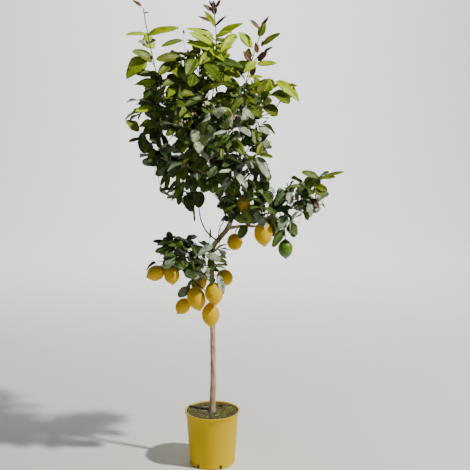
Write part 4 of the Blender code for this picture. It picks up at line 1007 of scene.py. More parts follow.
def photo_place(pixel, behind):
    """The place at a pixel of the photograph, so many metres behind the trunk, and a pixel's size there."""
    right, down = ((value - PICTURE / 2) / FOCUS for value in pixel)
    ahead = math.sin(CAMERA_TILT) - down * math.cos(CAMERA_TILT)
    ray = Vector((right, ahead, -math.cos(CAMERA_TILT) - down * math.sin(CAMERA_TILT)))
    reach = (behind - CAMERA_PLACE[1]) / ray.y
    return Vector(CAMERA_PLACE) + ray * reach, reach / FOCUS


def in_sky(points):
    """Whether any of the points falls where the photograph shows open sky."""
    seen = [pixel_of(point) for point in points]
    return any(math.dist(place, middle) < radius for middle, radius in SKY for place in seen)


def hides_fruit(points):
    """Whether any of the points falls in front of a lemon in the photograph."""
    for fruit in FRUIT:
        middle = Vector(fruit.middle)
        seen = pixel_of(middle)
        edge = math.dist(seen, pixel_of(middle + Vector((fruit.width / 2, 0, 0))))
        if any(math.dist(pixel_of(p), seen) < edge and p.y < middle.y for p in points):
            return True
    return False


def shown_spots():
    """Two discs on every leaf of the table: middle and radius in pixels, and how far behind the trunk."""
    spots = []
    for leaf in SHOWN:
        for share in (0.3, 0.65):
            middle = [a + (b - a) * share for a, b in zip(leaf.root, leaf.tip)]
            behind = leaf.behind[0] + (leaf.behind[1] - leaf.behind[0]) * share
            spots.append((middle, leaf.width * SHOWN_CLEAR, behind))
    return spots


def hides_shown(points, spots):
    """Whether a grown leaf would cover a leaf of the table, in the photograph's view."""
    for point in points:
        x, y = pixel_of(point)
        for (middle_x, middle_y), radius, behind in spots:
            if abs(x - middle_x) < radius and abs(y - middle_y) < radius and point.y < behind:
                return True
    return False


# Finer twigs


def side_twigs(mass, stem, twigs, others, rng):
    """Short twigs turned alternately off each twig and off the stem's outer part."""
    made = []
    if mass.young > SHOOT:
        return made
    for path in twigs + [stem]:
        for i, share in enumerate(SIDE_TWIGS):
            start, along = point_at(path, share)
            out = way_round(along, i * GOLDEN + rng.uniform(0, 2))
            way = along * 0.7 + out * 0.8 + UP * (0.25 - 0.5 * mass.droop)
            way.normalize()
            for reach in (rng.uniform(*SIDE_REACH), SIDE_REACH[0] * 0.8):
                end = start + way * reach
                bend = start.lerp(end, 0.5) + along * reach * 0.15
                twig = curve_points(start, bend, end, 4)
                solid = tube_mesh(twig[1:], [SIDE_R[0]] * 3, 3, LIMB_ROOM)
                if in_sky([end]) or not in_space(mass, end) or tree_of([solid]).overlap(others):
                    continue
                made.append(twig)
                break
    return made


def grow_wood(limbs):
    """Every mass's stem, twigs and stalks by the part's rule and seeds, and its side twigs."""
    limb_meshes = [tube_mesh(path, radii, 8, LIMB_ROOM) for path, radii in limbs.values()]
    stems = {mass.name: mass_stem(mass, limbs) for mass in MASSES}
    stem_meshes = {name: tube_mesh(*stem, 4, LIMB_ROOM) for name, stem in stems.items()}
    balls = {fruit: ball_mesh(fruit, LIMB_ROOM) for fruit in FRUIT}
    grown = []
    for mass in MASSES:
        stem, radii = stems[mass.name]
        others = limb_meshes + [mesh for name, mesh in stem_meshes.items() if name != mass.name]
        blocked = tree_of(others + list(balls.values()))
        twigs = mass_twigs(mass, stem, blocked, random.Random(mass.seed))
        stalks = []
        for fruit in FRUIT:
            if fruit.mass == mass.name:
                rest = [ball for other, ball in balls.items() if other is not fruit]
                stalks.append(fruit_stalk(fruit, stem, twigs, tree_of(others + rest)))
        sides = side_twigs(mass, stem, twigs, blocked, random.Random(mass.seed + 50))
        if mass.young > SHOOT:
            twigs = [path for path in twigs if not in_sky([path[-1]])]
        grown.append(Growth(mass, stem, radii, twigs, stalks, sides))
    solids = limb_meshes + list(stem_meshes.values()) + list(balls.values())
    solids += [tube_mesh(p, [STALK_R] * len(p), 3, LIMB_ROOM) for growth in grown for p in growth.stalks]
    return grown, solids


def wood_points(grown):
    """Points along all the fine wood."""
    for growth in grown:
        for path in [growth.stem] + growth.twigs + growth.sides:
            yield from dense(path, 4)
            yield path[-1]


def nearest_wood(wood, place):
    """The point of the wood nearest a place, sooner one below it than above."""
    return min(wood, key=lambda spot: (spot - place).length + 0.6 * max(0, spot.z - place.z))


def trimmed(path, held):
    """A twig cut off a little beyond the last thing that it carries."""
    points = [*dense(path, 6), path[-1]]
    while points and held.find(points[-1])[2] > 0.005:
        points.pop()
    return points[:-1:6] + points[-1:] if len(points) > 3 else []


def drop_bare(grown, bare, lines):
    """Takes off the side twigs that carry nothing."""
    starts = [path[0] for path, _ in lines]
    for path in bare:
        points = [*dense(path, 4), path[-1]]
        if not any((point - start).length < 0.001 for point in points for start in starts):
            for growth in grown:
                growth.sides[:] = [side for side in growth.sides if side is not path]


# Leaves and their places


def shade_at(z, rng):
    """A number for how light and yellow a spray is: low for old dark leaves, high for young ones, and rising
    with height as painted light, the lit top of the crown over its shaded lower part.
    """
    share = (z - SHADE_LOW) / (SHADE_HIGH - SHADE_LOW)
    return SHADE_FIRST + SHADE_RISE * max(0, share) + rng.gauss(0, SPRAY_SPREAD)


def tint_of(shade, z, rng):
    """A leaf's tint, near its spray's shade."""
    # Low in the crown some old leaves take the pale tints, painted reflection of the sky
    if z < PAINTED_SHEEN_Z and rng.random() < PAINTED_SHEEN_SHARE:
        return rng.choice(("pale", "sage", "sage"))
    i = int(min(max(shade + rng.gauss(0, TINT_SPREAD), 0), len(SHADES) - 1))
    return SHADES[i]


def shown_blades(grown):
    """The leaves of the table, with a twig to each from the nearest wood, and the bare twigs."""
    wood = list(wood_points(grown))
    blades, lines = [], []
    for bare in BARE:
        path = [photo_place(pixel, bare.behind)[0] for pixel in bare.line]
        path = fine_line([nearest_wood(wood, path[0])] + path, 0.006)
        lines.append((path, bare.radius))
        wood += path
    for leaf in SHOWN:
        root, _ = photo_place(leaf.root, leaf.behind[0])
        tip, pixel = photo_place(leaf.tip, leaf.behind[1])
        start = nearest_wood(wood, root)
        span = (root - start).length
        along = (tip - root).normalized()
        bend = start.lerp(root, 0.55) + (root - start) * 0.10 - along * span * 0.15
        path = curve_points(start, bend, root, 5)
        lines.append((path, SIDE_R[0] if span > LONG_TWIG else PETIOLE_R))
        wood += path[2:]
        face = Vector(SHOWN_FACE)
        width = leaf.width * pixel * SHOWN_WIDER
        blades.append(Blade(root, tip, face - along * face.dot(along), width, leaf.tint, leaf.arch))
    return blades, lines


def in_reach(point):
    """Whether a place is in the space of any mass. Fine leaves may cross from one space to the next."""
    return any(scaled_distance(mass, point) <= 1.0 for mass in MASSES)


def life_pose(mass, path, share, turn, rng):
    """The source's leaf pose, hanging less evenly and turned more freely."""
    way, face = leaf_pose(mass, path, share, turn, rng)
    way += UP * mass.droop * LESS_DROOP + scatter(rng) * LOOSE
    way.normalize()
    face += scatter(rng) * LOOSE
    return way, face - way * face.dot(way)


class Canopy:
    """The leaves that have their places, and all that a new leaf keeps clear of."""

    def __init__(self, grown, solids, shown):
        self.placed, self.spots = [], shown_spots()
        for blade in shown:
            chord = blade.tip - blade.root
            form = leaf_frame(blade.root, chord, blade.face, chord.length)
            solid = BVHTree.FromPolygons(leaf_corners(form, SHOWN_FREE), LEAF_FACES)
            self.placed.append(Leaf(blade, None, form @ LEAF_MIDDLE, chord.length * LEAF_SPREAD, solid))
        fine = [path for growth in grown for path in growth.twigs + [growth.stem] + growth.sides]
        self.wood = tree_of(solids + [tube_mesh(path, [SIDE_R[0]] * len(path), 3, 0) for path in fine])

    def room(self, middle):
        """How far it is to the nearest leaf's middle, where that is near."""
        near = [leaf.middle for leaf in self.placed if abs(leaf.middle.z - middle.z) < LEAF_ROOM]
        return min(((middle - place).length for place in near), default=LEAF_ROOM)

    def in_view(self, points):
        """Whether a leaf with these points leaves the photograph's sky, lemons and shown leaves open."""
        return not (in_sky(points) or hides_fruit(points) or hides_shown(points, self.spots))

    def clear(self, middle, reach, solid):
        """Whether a leaf touches no wood and no other leaf."""
        near = [leaf.solid for leaf in self.placed if (leaf.middle - middle).length < leaf.reach + reach]
        return not any(solid.overlap(other) for other in near + [self.wood])

    def best_leaf(self, mass, path, share, turn, rng):
        """Of the ways in which a leaf fits at a share of a twig, the one with most room round it."""
        best, most = None, 0.0
        spot, _ = point_at(path, share)
        for attempt in range(LIFE_TRIES):
            way, face = life_pose(mass, path, share, turn + attempt * NEXT_TURN, rng)
            size = mass.size * LIFE_SIZE * rng.uniform(*LIFE_SPREAD) * (1 - TRY_SMALLER * attempt)
            root = spot + way * size * STALK_SHARE
            form = leaf_frame(root, way, face, size * (1 - STALK_SHARE))
            middle, reach = form @ LEAF_MIDDLE, size * LEAF_SPREAD
            room = self.room(middle)
            corners = leaf_corners(form)[1:]
            if room < most or not all(in_reach(corner) for corner in corners):
                continue
            solid = BVHTree.FromPolygons(leaf_corners(form, GROWN_FREE), LEAF_FACES)
            if self.in_view(corners + [middle]) and self.clear(middle, reach, solid):
                width = size * rng.uniform(*LIFE_WIDTH)
                blade = Blade(root, spot + way * size, face, width, None, rng.uniform(*LIFE_ARCH))
                best, most = Leaf(blade, spot, middle, reach, solid), room
        return best

    def leaves_on(self, mass, path, first, step, rng, tints):
        """Places leaves along a twig from its tip back to a first share of it, all near one shade."""
        length = sum((b - a).length for a, b in zip(path, path[1:])) * (1 - first)
        part = SHOOT_SHARE if mass.young > SHOOT else 1.0
        count = round(length * part / step)
        shade = shade_at(path[-1].z, tints) + SHADE_YOUNG * mass.young
        made = []
        for i in range(count):
            share = LAST_LEAF - (LAST_LEAF - first) * i / count
            leaf = self.best_leaf(mass, path, share, i * GOLDEN, rng)
            if leaf:
                self.placed.append(leaf)
                tint = tint_of(shade, leaf.blade.root.z, tints)
                made.append(leaf._replace(blade=leaf.blade._replace(tint=tint)))
        return made


def grown_leaves(grown, solids, shown):
    """Leaves along every twig, stem and side twig, and the side twigs on which no leaf found room."""
    canopy, leaves, bare = Canopy(grown, solids, shown), [], []
    for growth in grown:
        mass = growth.mass
        rng, tints = random.Random(mass.seed + 200), random.Random(mass.seed + 300)
        for path in growth.twigs:
            leaves += canopy.leaves_on(mass, path, FIRST_LEAF, LEAF_STEP, rng, tints)
        leaves += canopy.leaves_on(mass, growth.stem, mass.bare, LEAF_STEP, rng, tints)
        for path in growth.sides:
            made = canopy.leaves_on(mass, path, FIRST_SIDE_LEAF, SIDE_LEAF_STEP, rng, tints)
            leaves += made
            bare += [] if made else [path]
    return leaves, bare


# Joined pieces


class Heap:
    """Corners and faces gathered for one joined piece, with a material slot for each face."""

    def __init__(self):
        self.corners, self.faces, self.slots, self.uvs = [], [], [], []

    def add(self, corners, faces, slots=0, uvs=None):
        base = len(self.corners)
        self.corners += corners
        self.faces += [tuple(base + i for i in face) for face in faces]
        self.slots += slots if isinstance(slots, list) else [slots] * len(faces)
        self.uvs += uvs or [(0.0, 0.0)] * len(corners)

    def piece(self, name, materials, slot=None, nodes=(), smooth=True, uv=False):
        mesh = meshed(name, self.corners, self.faces, materials, smooth)
        mesh.polygons.foreach_set("material_index", self.slots)
        if uv:
            layer = mesh.uv_layers.new(name="leaf")
            index = [0] * len(mesh.loops)
            mesh.loops.foreach_get("vertex_index", index)
            layer.data.foreach_set("uv", [value for i in index for value in self.uvs[i]])
        mesh.update()
        made = linked(name, mesh)
        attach(made, "root")
        if nodes:
            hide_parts(*nodes)
        return made


def meshed(name, corners, faces, materials, smooth=True):
    """A mesh with its materials."""
    mesh = bpy.data.meshes.new(name)
    mesh.from_pydata(corners, [], faces)
    for finish in materials:
        mesh.materials.append(finish)
    mesh.polygons.foreach_set("use_smooth", [smooth] * len(faces))
    return mesh


def linked(name, data):
    """A new object in the scene."""
    made = bpy.data.objects.new(name, data)
    bpy.context.scene.collection.objects.link(made)
    return made


def swept(heap, path, radii, sides, relief=None, slot=0, cap=True):
    """A tube whose rings don't twist. relief gives the extra radius at each corner."""
    corners, side, run = [], None, 0.0
    for i, (point, radius) in enumerate(zip(path, radii)):
        ahead, behind = path[min(i + 1, len(path) - 1)], path[max(i - 1, 0)]
        along = (ahead - behind).normalized()
        run += (point - behind).length
        side = side_of(along) if side is None else (side - along * side.dot(along)).normalized()
        for out in spokes(side, along, sides):
            extra = relief(out, run, radius) if relief else 0.0
            corners.append(point + out * (radius + extra))
    faces = tube_faces(len(path), sides)
    if cap:
        faces += [tuple(range(sides))[::-1], tuple(range(len(corners) - sides, len(corners)))]
    heap.add(corners, faces, slot)


# Trunk, boughs and twigs


def bark_relief(out, run, radius):
    """Long shallow ridges, finer grain, and a faint swelling at each old leaf joint."""
    spot = Vector((out.x * radius * 210, out.y * radius * 210, run * 26 + out.z * 2))
    ridge = noise.noise(spot) * RIDGE_H
    grain = noise.noise(Vector((spot.x * 2.7, spot.y * 2.7, run * 120))) * GRAIN_H
    joint = JOINT_H * max(0.0, math.cos(run * 2 * math.pi / JOINT_STEP)) ** 12
    return (ridge + grain) * min(1.0, radius / 0.005) + joint * min(1.0, radius / 0.006)


def foot_relief(out, run, radius):
    """The trunk's relief, with three low buttresses at its foot."""
    foot = math.exp(-run / FOOT_FADE)
    turn = math.atan2(out.y, out.x)
    return bark_relief(out, run, radius) + foot * radius * FOOT_SWELL * math.sin(3 * turn + 0.7)


def bough_line(bough, limbs, growths):
    """A bough and its mass's stem as one line with its radii, from inside the limb that carries it."""
    path, radii = limbs[bough.name]
    growth = growths[bough.name]
    first = fine_line(path, BOUGH_FINE)
    second = fine_line([path[-1]] + growth.stem[1:], BOUGH_FINE)[1:]
    widths = tapered(len(first), radii[0], radii[-1]) + tapered(len(second), radii[-1], growth.radii[-1])
    swell = [COLLAR_SWELL * math.exp(-i * BOUGH_FINE / COLLAR_FADE) for i in range(len(widths))]
    return first + second, [width * (1 + more) for width, more in zip(widths, swell)]


def held_places(grown, lines, leaves):
    """Where anything is carried: leaves, side twigs, the table's leaves, lemons and blossom."""
    fine = list(wood_points(grown))
    places = [leaf.spot for leaf in leaves] + [path[0] for path, _ in lines]
    places += [path[0] for growth in grown for path in growth.sides + growth.stalks]
    places += [nearest_wood(fine, photo_place(cluster.pixel, cluster.behind)[0]) for cluster in CLUSTERS]
    tree = KDTree(len(places))
    for i, place in enumerate(places):
        tree.insert(place, i)
    tree.balance()
    return tree


def limb_wood(limbs, grown, bark, heaps):
    """The trunk and the boughs with their masses' stems. A bough in heaps goes to the heap named there."""
    line, widths = spline_through(TRUNK_FORM, TRUNK_FINE)
    buried = Vector((TRUNK_X, 0, SOIL_Z - 0.006))
    swept(bark, [buried] + line, [widths[0]] + widths, TRUNK_SIDES, foot_relief)
    growths = {growth.mass.bough: growth for growth in grown}
    for bough in BOUGHS:
        path, radii = bough_line(bough, limbs, growths)
        if bough.name in heaps:
            swept(heaps[bough.name], path, radii, THIN_SIDES)
        else:
            swept(bark, path, radii, BOUGH_SIDES, bark_relief, slot=1 if path[0].z > BRANCH_Z else 0)


def fine_wood(grown, held, shoots, twigs):
    """Every mass's twigs, cut off beyond what they carry, its side twigs and its lemons' stalks."""
    for growth in grown:
        heap = shoots if growth.mass.young > SHOOT else twigs
        for path in growth.twigs:
            path = trimmed(path, held)
            if path:
                path = fine_line(path, TWIG_FINE)
                swept(heap, path, tapered(len(path), *TWIG_DRAWN), 7)
        for path in growth.sides:
            swept(heap, path, tapered(len(path), *SIDE_R), 6)
        for path in growth.stalks:
            path = fine_line(path, STALK_FINE)
            swept(twigs, path, tapered(len(path), *STALK_DRAWN), 8)


def wood(limbs, grown, lines, leaves, finishes):
    """All the wood, as one piece each for bark, green shoots, twigs and leaf stalks."""
    bark, shoots, twigs, stalks = Heap(), Heap(), Heap(), Heap()
    heaps = {name: shoots for name in YOUNG_BOUGHS} | {name: twigs for name in THIN_BOUGHS}
    limb_wood(limbs, grown, bark, heaps)
    fine_wood(grown, held_places(grown, lines, leaves), shoots, twigs)
    for path, radius in lines:
        heap = shoots if path[-1].z > YOUNG_Z else twigs
        swept(heap, path, tapered(len(path), radius, PETIOLE_R), 6)
    for leaf in leaves:
        root, tip = leaf.blade.root, leaf.blade.tip
        path = [leaf.spot, leaf.spot.lerp(root, 0.6), root + (tip - root) * 0.03]
        swept(stalks, path, tapered(3, PETIOLE_R, PETIOLE_R * 0.9), 4, cap=False)
    old = ["trunk"] + [bough.name for bough in BOUGHS if bough.name not in heaps]
    bark.piece("bark_limbs", [finishes["bark"], finishes["branch"]], "bark", old)
    shoots.piece("young_shoots", [finishes["shoot"]], "bark", YOUNG_BOUGHS)
    twigs.piece("twigs", [finishes["twig"]], "foliage", [*MASS_NAMES, *THIN_BOUGHS])
    stalks.piece("leaf_stalks", [finishes["stalk"]], "foliage", MASS_NAMES)


# Leaves


def blade_mesh(blade, rng):
    """A leaf: arched, folded along its midrib, a little twisted and waved, and closed underneath."""
    chord = blade.tip - blade.root
    along = chord.normalized()
    across = along.cross(blade.face).normalized()
    up = across.cross(along)
    arch = max(blade.arch, 0.02)
    arc = chord.length * (arch / 2) / math.sin(arch / 2)
    fold = math.radians(rng.uniform(*BLADE_FOLD))
    twist = rng.uniform(-BLADE_TWIST, BLADE_TWIST)
    wave, phase = rng.uniform(*BLADE_WAVE), rng.uniform(0, 6)
    thick = max(BLADE_THINNEST, BLADE_THICK * arc)
    corners, uvs = [blade.root], [(0.5, 0.0)]
    for share, sharp, blunt in BLADE_ROWS:
        wide = sharp if blade.tint in POINTED else blunt
        angle = arch * (0.5 - share)
        forward = arc / arch * (math.sin(arch / 2) - math.sin(angle))
        centre = blade.root + along * forward + up * (arc / arch * (math.cos(angle) - math.cos(arch / 2)))
        normal = up * math.cos(angle) - along * math.sin(angle)
        turn = twist * (share - 0.3)
        side = across * math.cos(turn) + normal * math.sin(turn)
        lift = normal * math.cos(turn) - across * math.sin(turn)
        half = blade.width / 2 * wide
        row = []
        for u in BLADE_COLUMNS:
            ripple = wave * math.sin(9 * share + phase + (2.2 if u < 0 else 0)) * u * u
            rise = abs(u) * math.sin(fold) + ripple
            row.append(centre + side * (u * half * math.cos(fold)) + lift * (half * rise))
        corners += row + [point - lift * thick for point in row[1:5]]
        uvs += [(0.5 + u * wide / 2, share) for u in BLADE_COLUMNS + BLADE_COLUMNS[1:5]]
    return corners + [blade.tip], uvs + [(0.5, 1.0)]


def blade_faces():
    """The faces of a blade and their slots: 0 on top, 1 on the midrib, 2 underneath."""
    count = len(BLADE_COLUMNS)
    size = 2 * count - 2
    rows = [1 + i * size for i in range(len(BLADE_ROWS))]
    top, under = [*range(count)], [0, *range(count, size), count - 1]
    faces, slots = [], []
    for c in range(count - 1):
        midrib = c == count // 2 - 1
        for columns, slot in ((top, 1 if midrib else 0), (under, 2)):
            left, right = columns[c:c + 2]
            strip = [(0, rows[0] + right, rows[0] + left)]
            for low, high in zip(rows, rows[1:]):
                strip.append((low + left, low + right, high + right, high + left))
            strip.append((rows[-1] + left, rows[-1] + right, rows[-1] + size))
            faces += [face[::-1] for face in strip] if slot == 2 else strip
            slots += [slot] * len(strip)
    return faces, slots


def leaves_made(blades, finishes):
    """One joined piece for each tint."""
    faces, slots = blade_faces()
    heaps = {tint: Heap() for tint in TINTS}
    rng = random.Random(5)
    for blade in blades:
        corners, uvs = blade_mesh(blade, rng)
        heaps[blade.tint].add(corners, faces, slots, uvs)
    for tint, heap in heaps.items():
        heap.piece(f"leaves_{tint}", finishes[tint], "foliage", MASS_NAMES, uv=True)


# Lemons


def lemon_mesh(fruit, seed):
    """A lemon, a little uneven, with ribs at its shoulder and a drawn-out tip."""
    tip = Vector(fruit.tip).normalized()
    length = fruit.length * LEMON_FULL
    top = Vector(fruit.middle) - tip * (length / 2)
    outs = spokes(side_of(tip), tip, LEMON_SIDES)
    corners = [top + tip * 0.0015]
    for share, wide in LEMON_FORM:
        for k, out in enumerate(outs):
            spot = out * 1.3 + Vector((seed, share * 2.2, 0))
            uneven = noise.noise(spot) * LEMON_BUMP + noise.noise(spot * 4) * LEMON_FINE
            turn = 2 * math.pi * k / LEMON_SIDES
            rib = LEMON_RIB * math.cos(5 * turn + seed) * math.exp(-share / 0.06)
            radius = fruit.width / 2 * LEMON_FULL * wide * (1 + uneven + rib)
            corners.append(top + tip * (length * share) + out * radius)
    corners.append(top + tip * length)
    return corners, round_faces(len(LEMON_FORM), LEMON_SIDES)


def calyx(heap, fruit):
    """The small five-lobed button that a lemon hangs by."""
    tip = Vector(fruit.tip).normalized()
    top = Vector(fruit.middle) - tip * (fruit.length * LEMON_FULL / 2 + 0.001)
    corners = [top - tip * 0.0015]
    for k, out in enumerate(spokes(side_of(tip), tip, CALYX_SIDES)):
        reach = CALYX_R + CALYX_LOBE * math.cos(5 * 2 * math.pi * k / CALYX_SIDES)
        corners.append(top + out * reach + tip * 0.0008)
    corners.append(top + tip * 0.002)
    heap.add(corners, round_faces(1, CALYX_SIDES))


def fruit_made(finishes):
    """The ripe lemons, the green one, and the buttons of all of them."""
    ripe, green, buttons = Heap(), Heap(), Heap()
    for i, fruit in enumerate(FRUIT):
        (ripe if fruit.ripe else green).add(*lemon_mesh(fruit, i * 3.7))
        calyx(buttons, fruit)
    masses = sorted({fruit.mass for fruit in FRUIT if fruit.ripe})
    ripe.piece("lemons", [finishes["lemon"]], nodes=masses)
    green.piece("green_lemon", [finishes["green_lemon"]], nodes=["foliage_right_outer"])
    buttons.piece("calyxes", [finishes["stalk"]], nodes=masses)


# Blossom


def bead(heap, centre, way, length, width, slot=0):
    """A small egg shape along a direction."""
    corners = [centre - way * length / 2]
    for share, wide in ((0.15, 0.62), (0.45, 1.0), (0.8, 0.7)):
        outs = spokes(side_of(way), way, 8)
        corners += [centre + way * (share - 0.5) * length + out * wide * width / 2 for out in outs]
    corners.append(centre + way * length / 2)
    heap.add(corners, round_faces(3, 8), slot)


def flower(heap, centre, way, rng):
    """An open flower: five bent white petals round a column of yellow stamens."""
    reach, width = PETAL
    faces, _ = blade_faces()
    for k in range(PETALS):
        out = way_round(way, 2 * math.pi * k / PETALS + rng.uniform(-0.2, 0.2))
        tip = centre + out * reach + way * rng.uniform(0.001, 0.006)
        corners, _ = blade_mesh(Blade(centre, tip, way, width, "bud", 0.5), rng)
        heap.add(corners, faces)
    bead(heap, centre + way * 0.003, way, *STAMENS, 3)


def blossom_made(grown, finishes):
    """Clusters of blossom: buds, white or with pink tips, and open flowers on short stalks."""
    heap = Heap()
    rng = random.Random(9)
    wood = list(wood_points(grown))
    for cluster in CLUSTERS:
        place, _ = photo_place(cluster.pixel, cluster.behind)
        start = nearest_wood(wood, place)
        bend = start.lerp(place, 0.5) - UP * (place - start).length * 0.1
        swept(heap, curve_points(start, bend, place, 5), [SIDE_R[1]] * 5, 6, slot=1)
        for i in range(cluster.buds + cluster.open):
            aim = (scatter(rng) + Vector(FLOWER_WAY)).normalized()
            reach = rng.uniform(*FLOWER_STALK)
            swept(heap, [place, place + aim * reach], [FLOWER_STALK_R] * 2, 5, slot=1)
            if i < cluster.open:
                flower(heap, place + aim * reach, aim, rng)
            else:
                bead(heap, place + aim * (reach + 0.003), aim, *BUD, rng.choice((0, 0, 2)))
    inks = [finishes[name] for name in ("bud", "stalk", "bud_pink", "stamen")]
    heap.piece("blossom", inks, "foliage", sorted(MASS_NAMES))


# Pot


def pot_outline():
    """The pot's section from the middle of its floor, up the inside, over the lip and down the outside."""
    lip_z, inner_low, rim = POT_H - LIP_H, FLOOR_LIFT + WALL_T, RIM_D / 2
    # floor and inside
    line = [(0, WALL_T), (PAD_R - WALL_T, WALL_T), (PAD_R + PAD_SLOPE - WALL_T, inner_low)]
    line += [(inner_radius(inner_low) - 0.002, inner_low), (inner_radius(inner_low), inner_low + 0.002)]
    line += [(inner_radius(lip_z) - 0.0002, lip_z - 0.002)]
    line += [(inner_radius(z), z) for z in (lip_z + 0.001, POT_H - 0.001)]
    # over the lip
    line += [(inner_radius(POT_H) + 0.0006, POT_H - 0.0001), (rim - 0.0026, POT_H)]
    line += [(rim - 0.0010, POT_H - 0.0004), (rim - 0.0002, POT_H - 0.0012), (rim, POT_H - 0.0024)]
    line += [(rim - 0.0003, lip_z + 0.0016), (rim - 0.0012, lip_z + 0.0006), (rim - 0.0030, lip_z + 0.0002)]
    # down the outside and round the base's corner
    line += [(wall_radius(lip_z) + 0.0012, lip_z - 0.0006)]
    line += [(wall_radius(z), z) for z in (lip_z - 0.003, 0.16, 0.12, 0.08, 0.04, 0.016)]
    base = wall_radius(CORNER_R)
    for i in range(7):
        turn = i / 6 * math.pi / 2
        line.append((base - CORNER_R * (1 - math.cos(turn)) * 0.6, CORNER_R * (1 - math.sin(turn))))
    # the recess underneath
    foot = line[-1][0] - WALL_T
    return line + [(foot, 0), (foot, FLOOR_LIFT), (PAD_R + PAD_SLOPE, FLOOR_LIFT), (PAD_R, 0), (0, 0)]


def circle(radius, z, sides):
    """Corners evenly round the middle of the pot."""
    turns = [2 * math.pi * k / sides for k in range(sides)]
    return [Vector((radius * math.cos(turn), radius * math.sin(turn), z)) for turn in turns]


def lathe(outline, sides):
    """A closed body turned round Z from an outline that starts and ends on the axis."""
    rings = outline[1:-1]
    corners = [Vector((0, 0, outline[0][1]))]
    for radius, z in rings:
        corners += circle(radius, z, sides)
    corners.append(Vector((0, 0, outline[-1][1])))
    return corners, turned_out(round_faces(len(rings), sides))


def slot_cutter(k):
    """A block, rounded along its top, that cuts one notch in the base."""
    form = bmesh.new()
    bmesh.ops.create_cube(form, size=1)
    bmesh.ops.scale(form, vec=(SLOT_DEPTH, SLOT_W, SLOT_H + SLOT_UNDER), verts=form.verts)
    level = [edge for edge in form.edges if abs(edge.verts[0].co.y - edge.verts[1].co.y) < 1e-6]
    top = [edge for edge in level if edge.verts[0].co.z > 0 and edge.verts[1].co.z > 0]
    bmesh.ops.bevel(form, geom=top, offset=0.0012, segments=3, affect="EDGES")
    mesh = bpy.data.meshes.new(f"slot_{k}")
    form.to_mesh(mesh)
    form.free()
    turn = math.radians(SLOT_TURN_DEG + k * 360 / SLOT_COUNT)
    cutter = linked(f"slot_{k}", mesh)
    way = Vector((math.cos(turn), math.sin(turn), 0))
    cutter.location = way * (BASE_D / 2 - 0.001) + UP * ((SLOT_H - SLOT_UNDER) / 2)
    cutter.rotation_euler = (0, 0, turn)
    return cutter


def pot_made(finishes):
    """The pot's shell with the notches cut out of its base."""
    heap = Heap()
    heap.add(*lathe(pot_outline(), POT_SIDES))
    made = heap.piece("pot_shell", [finishes["plastic"]], "yellow_plastic", ["pot"])
    cutters = [slot_cutter(k) for k in range(SLOT_COUNT)]
    for cutter in cutters:
        cut = made.modifiers.new(cutter.name, "BOOLEAN")
        cut.operation = "DIFFERENCE"
        cut.object = cutter
    bpy.context.view_layer.update()
    graph = bpy.context.evaluated_depsgraph_get()
    mesh = bpy.data.meshes.new_from_object(made.evaluated_get(graph))
    made.modifiers.clear()
    made.data = mesh
    for cutter in cutters:
        bpy.data.objects.remove(cutter)
    mesh.set_sharp_from_angle(angle=math.radians(32))


# Compost


def soil_place(x, y, above=0.0):
    """The place so far above the compost's surface, which has low humps and rises round the trunk."""
    spot = Vector((x * HUMPS, y * HUMPS, 0.3))
    hump = noise.noise(spot) * HUMP_H + noise.noise(spot * 3.1) * BUMP_H
    height = hump + TRUNK_RISE * math.exp(-math.hypot(x, y) / RISE_FADE) - SOIL_SUNK
    return Vector((x, y, SOIL_Z + height + above))


def lump(heap, centre, size, rng, slot, flat=1.0):
    """A rough grain with eight corners."""
    corners = []
    for sx, sy, sz in product((-1, 1), repeat=3):
        wide, deep, high = rng.uniform(0.5, 1), rng.uniform(0.5, 1), rng.uniform(0.5, 1)
        corners.append(centre + Vector((sx * wide, sy * deep, sz * flat * high)) * size)
    faces = [(0, 1, 3, 2), (4, 6, 7, 5), (0, 4, 5, 1), (2, 3, 7, 6), (0, 2, 6, 4), (1, 5, 7, 3)]
    heap.add(corners, faces, slot)


def soil_surface(heap, edge):
    """The compost's surface, and its side down to a flat foot."""
    corners = [Vector((0, 0, SOIL_Z))]
    for i in range(1, SOIL_RINGS + 1):
        corners += [soil_place(place.x, place.y) for place in circle(edge * i / SOIL_RINGS, 0, SOIL_SIDES)]
    foot = len(corners)
    corners += circle(inner_radius(SOIL_FOOT_Z), SOIL_FOOT_Z, SOIL_SIDES)
    faces = turned_out(round_faces(SOIL_RINGS + 1, SOIL_SIDES, closed=False))
    heap.add(corners, faces + [tuple(range(foot, len(corners)))[::-1]])


def grains(heap, edge, rng):
    """Grains of four earthy tones spread over the surface, and a few pale specks."""
    for _ in range(GRAINS):
        radius = edge * math.sqrt(rng.random()) * 0.985
        turn = rng.uniform(0, 2 * math.pi)
        x, y = radius * math.cos(turn), radius * math.sin(turn)
        if math.hypot(x - TRUNK_X, y) < GRAIN_CLEAR:
            continue
        size = rng.uniform(*GRAIN_SIZE) * (1.3 if rng.random() < 0.1 else 1)
        slot = rng.choice((0, 1, 1, 2, 2, 3))
        if rng.random() < 0.03:
            slot = 4
        lump(heap, soil_place(x, y, size * 0.2), size, rng, slot, 0.7)


def moss(heap, edge, rng):
    """Patches of moss, in two greens."""
    for middle_x, middle_y, reach, count in MOSS:
        for _ in range(count):
            x, y = rng.gauss(middle_x, reach * 0.5), rng.gauss(middle_y, reach * 0.5)
            if MOSS_CLEAR < math.hypot(x, y) < edge - 0.003:
                size = rng.uniform(*TUFT_SIZE)
                lump(heap, soil_place(x, y, 0.0007), size, rng, rng.choice((5, 5, 6)), 1.3)


def straw(heap):
    for x, y, turn, length in STRAW:
        start = soil_place(x, y, 0.0018)
        end = start + Vector((math.cos(turn), math.sin(turn), 0.03)) * length
        swept(heap, [start, start.lerp(end, 0.5) + UP * 0.001, end], [0.0006] * 3, 5, slot=4)


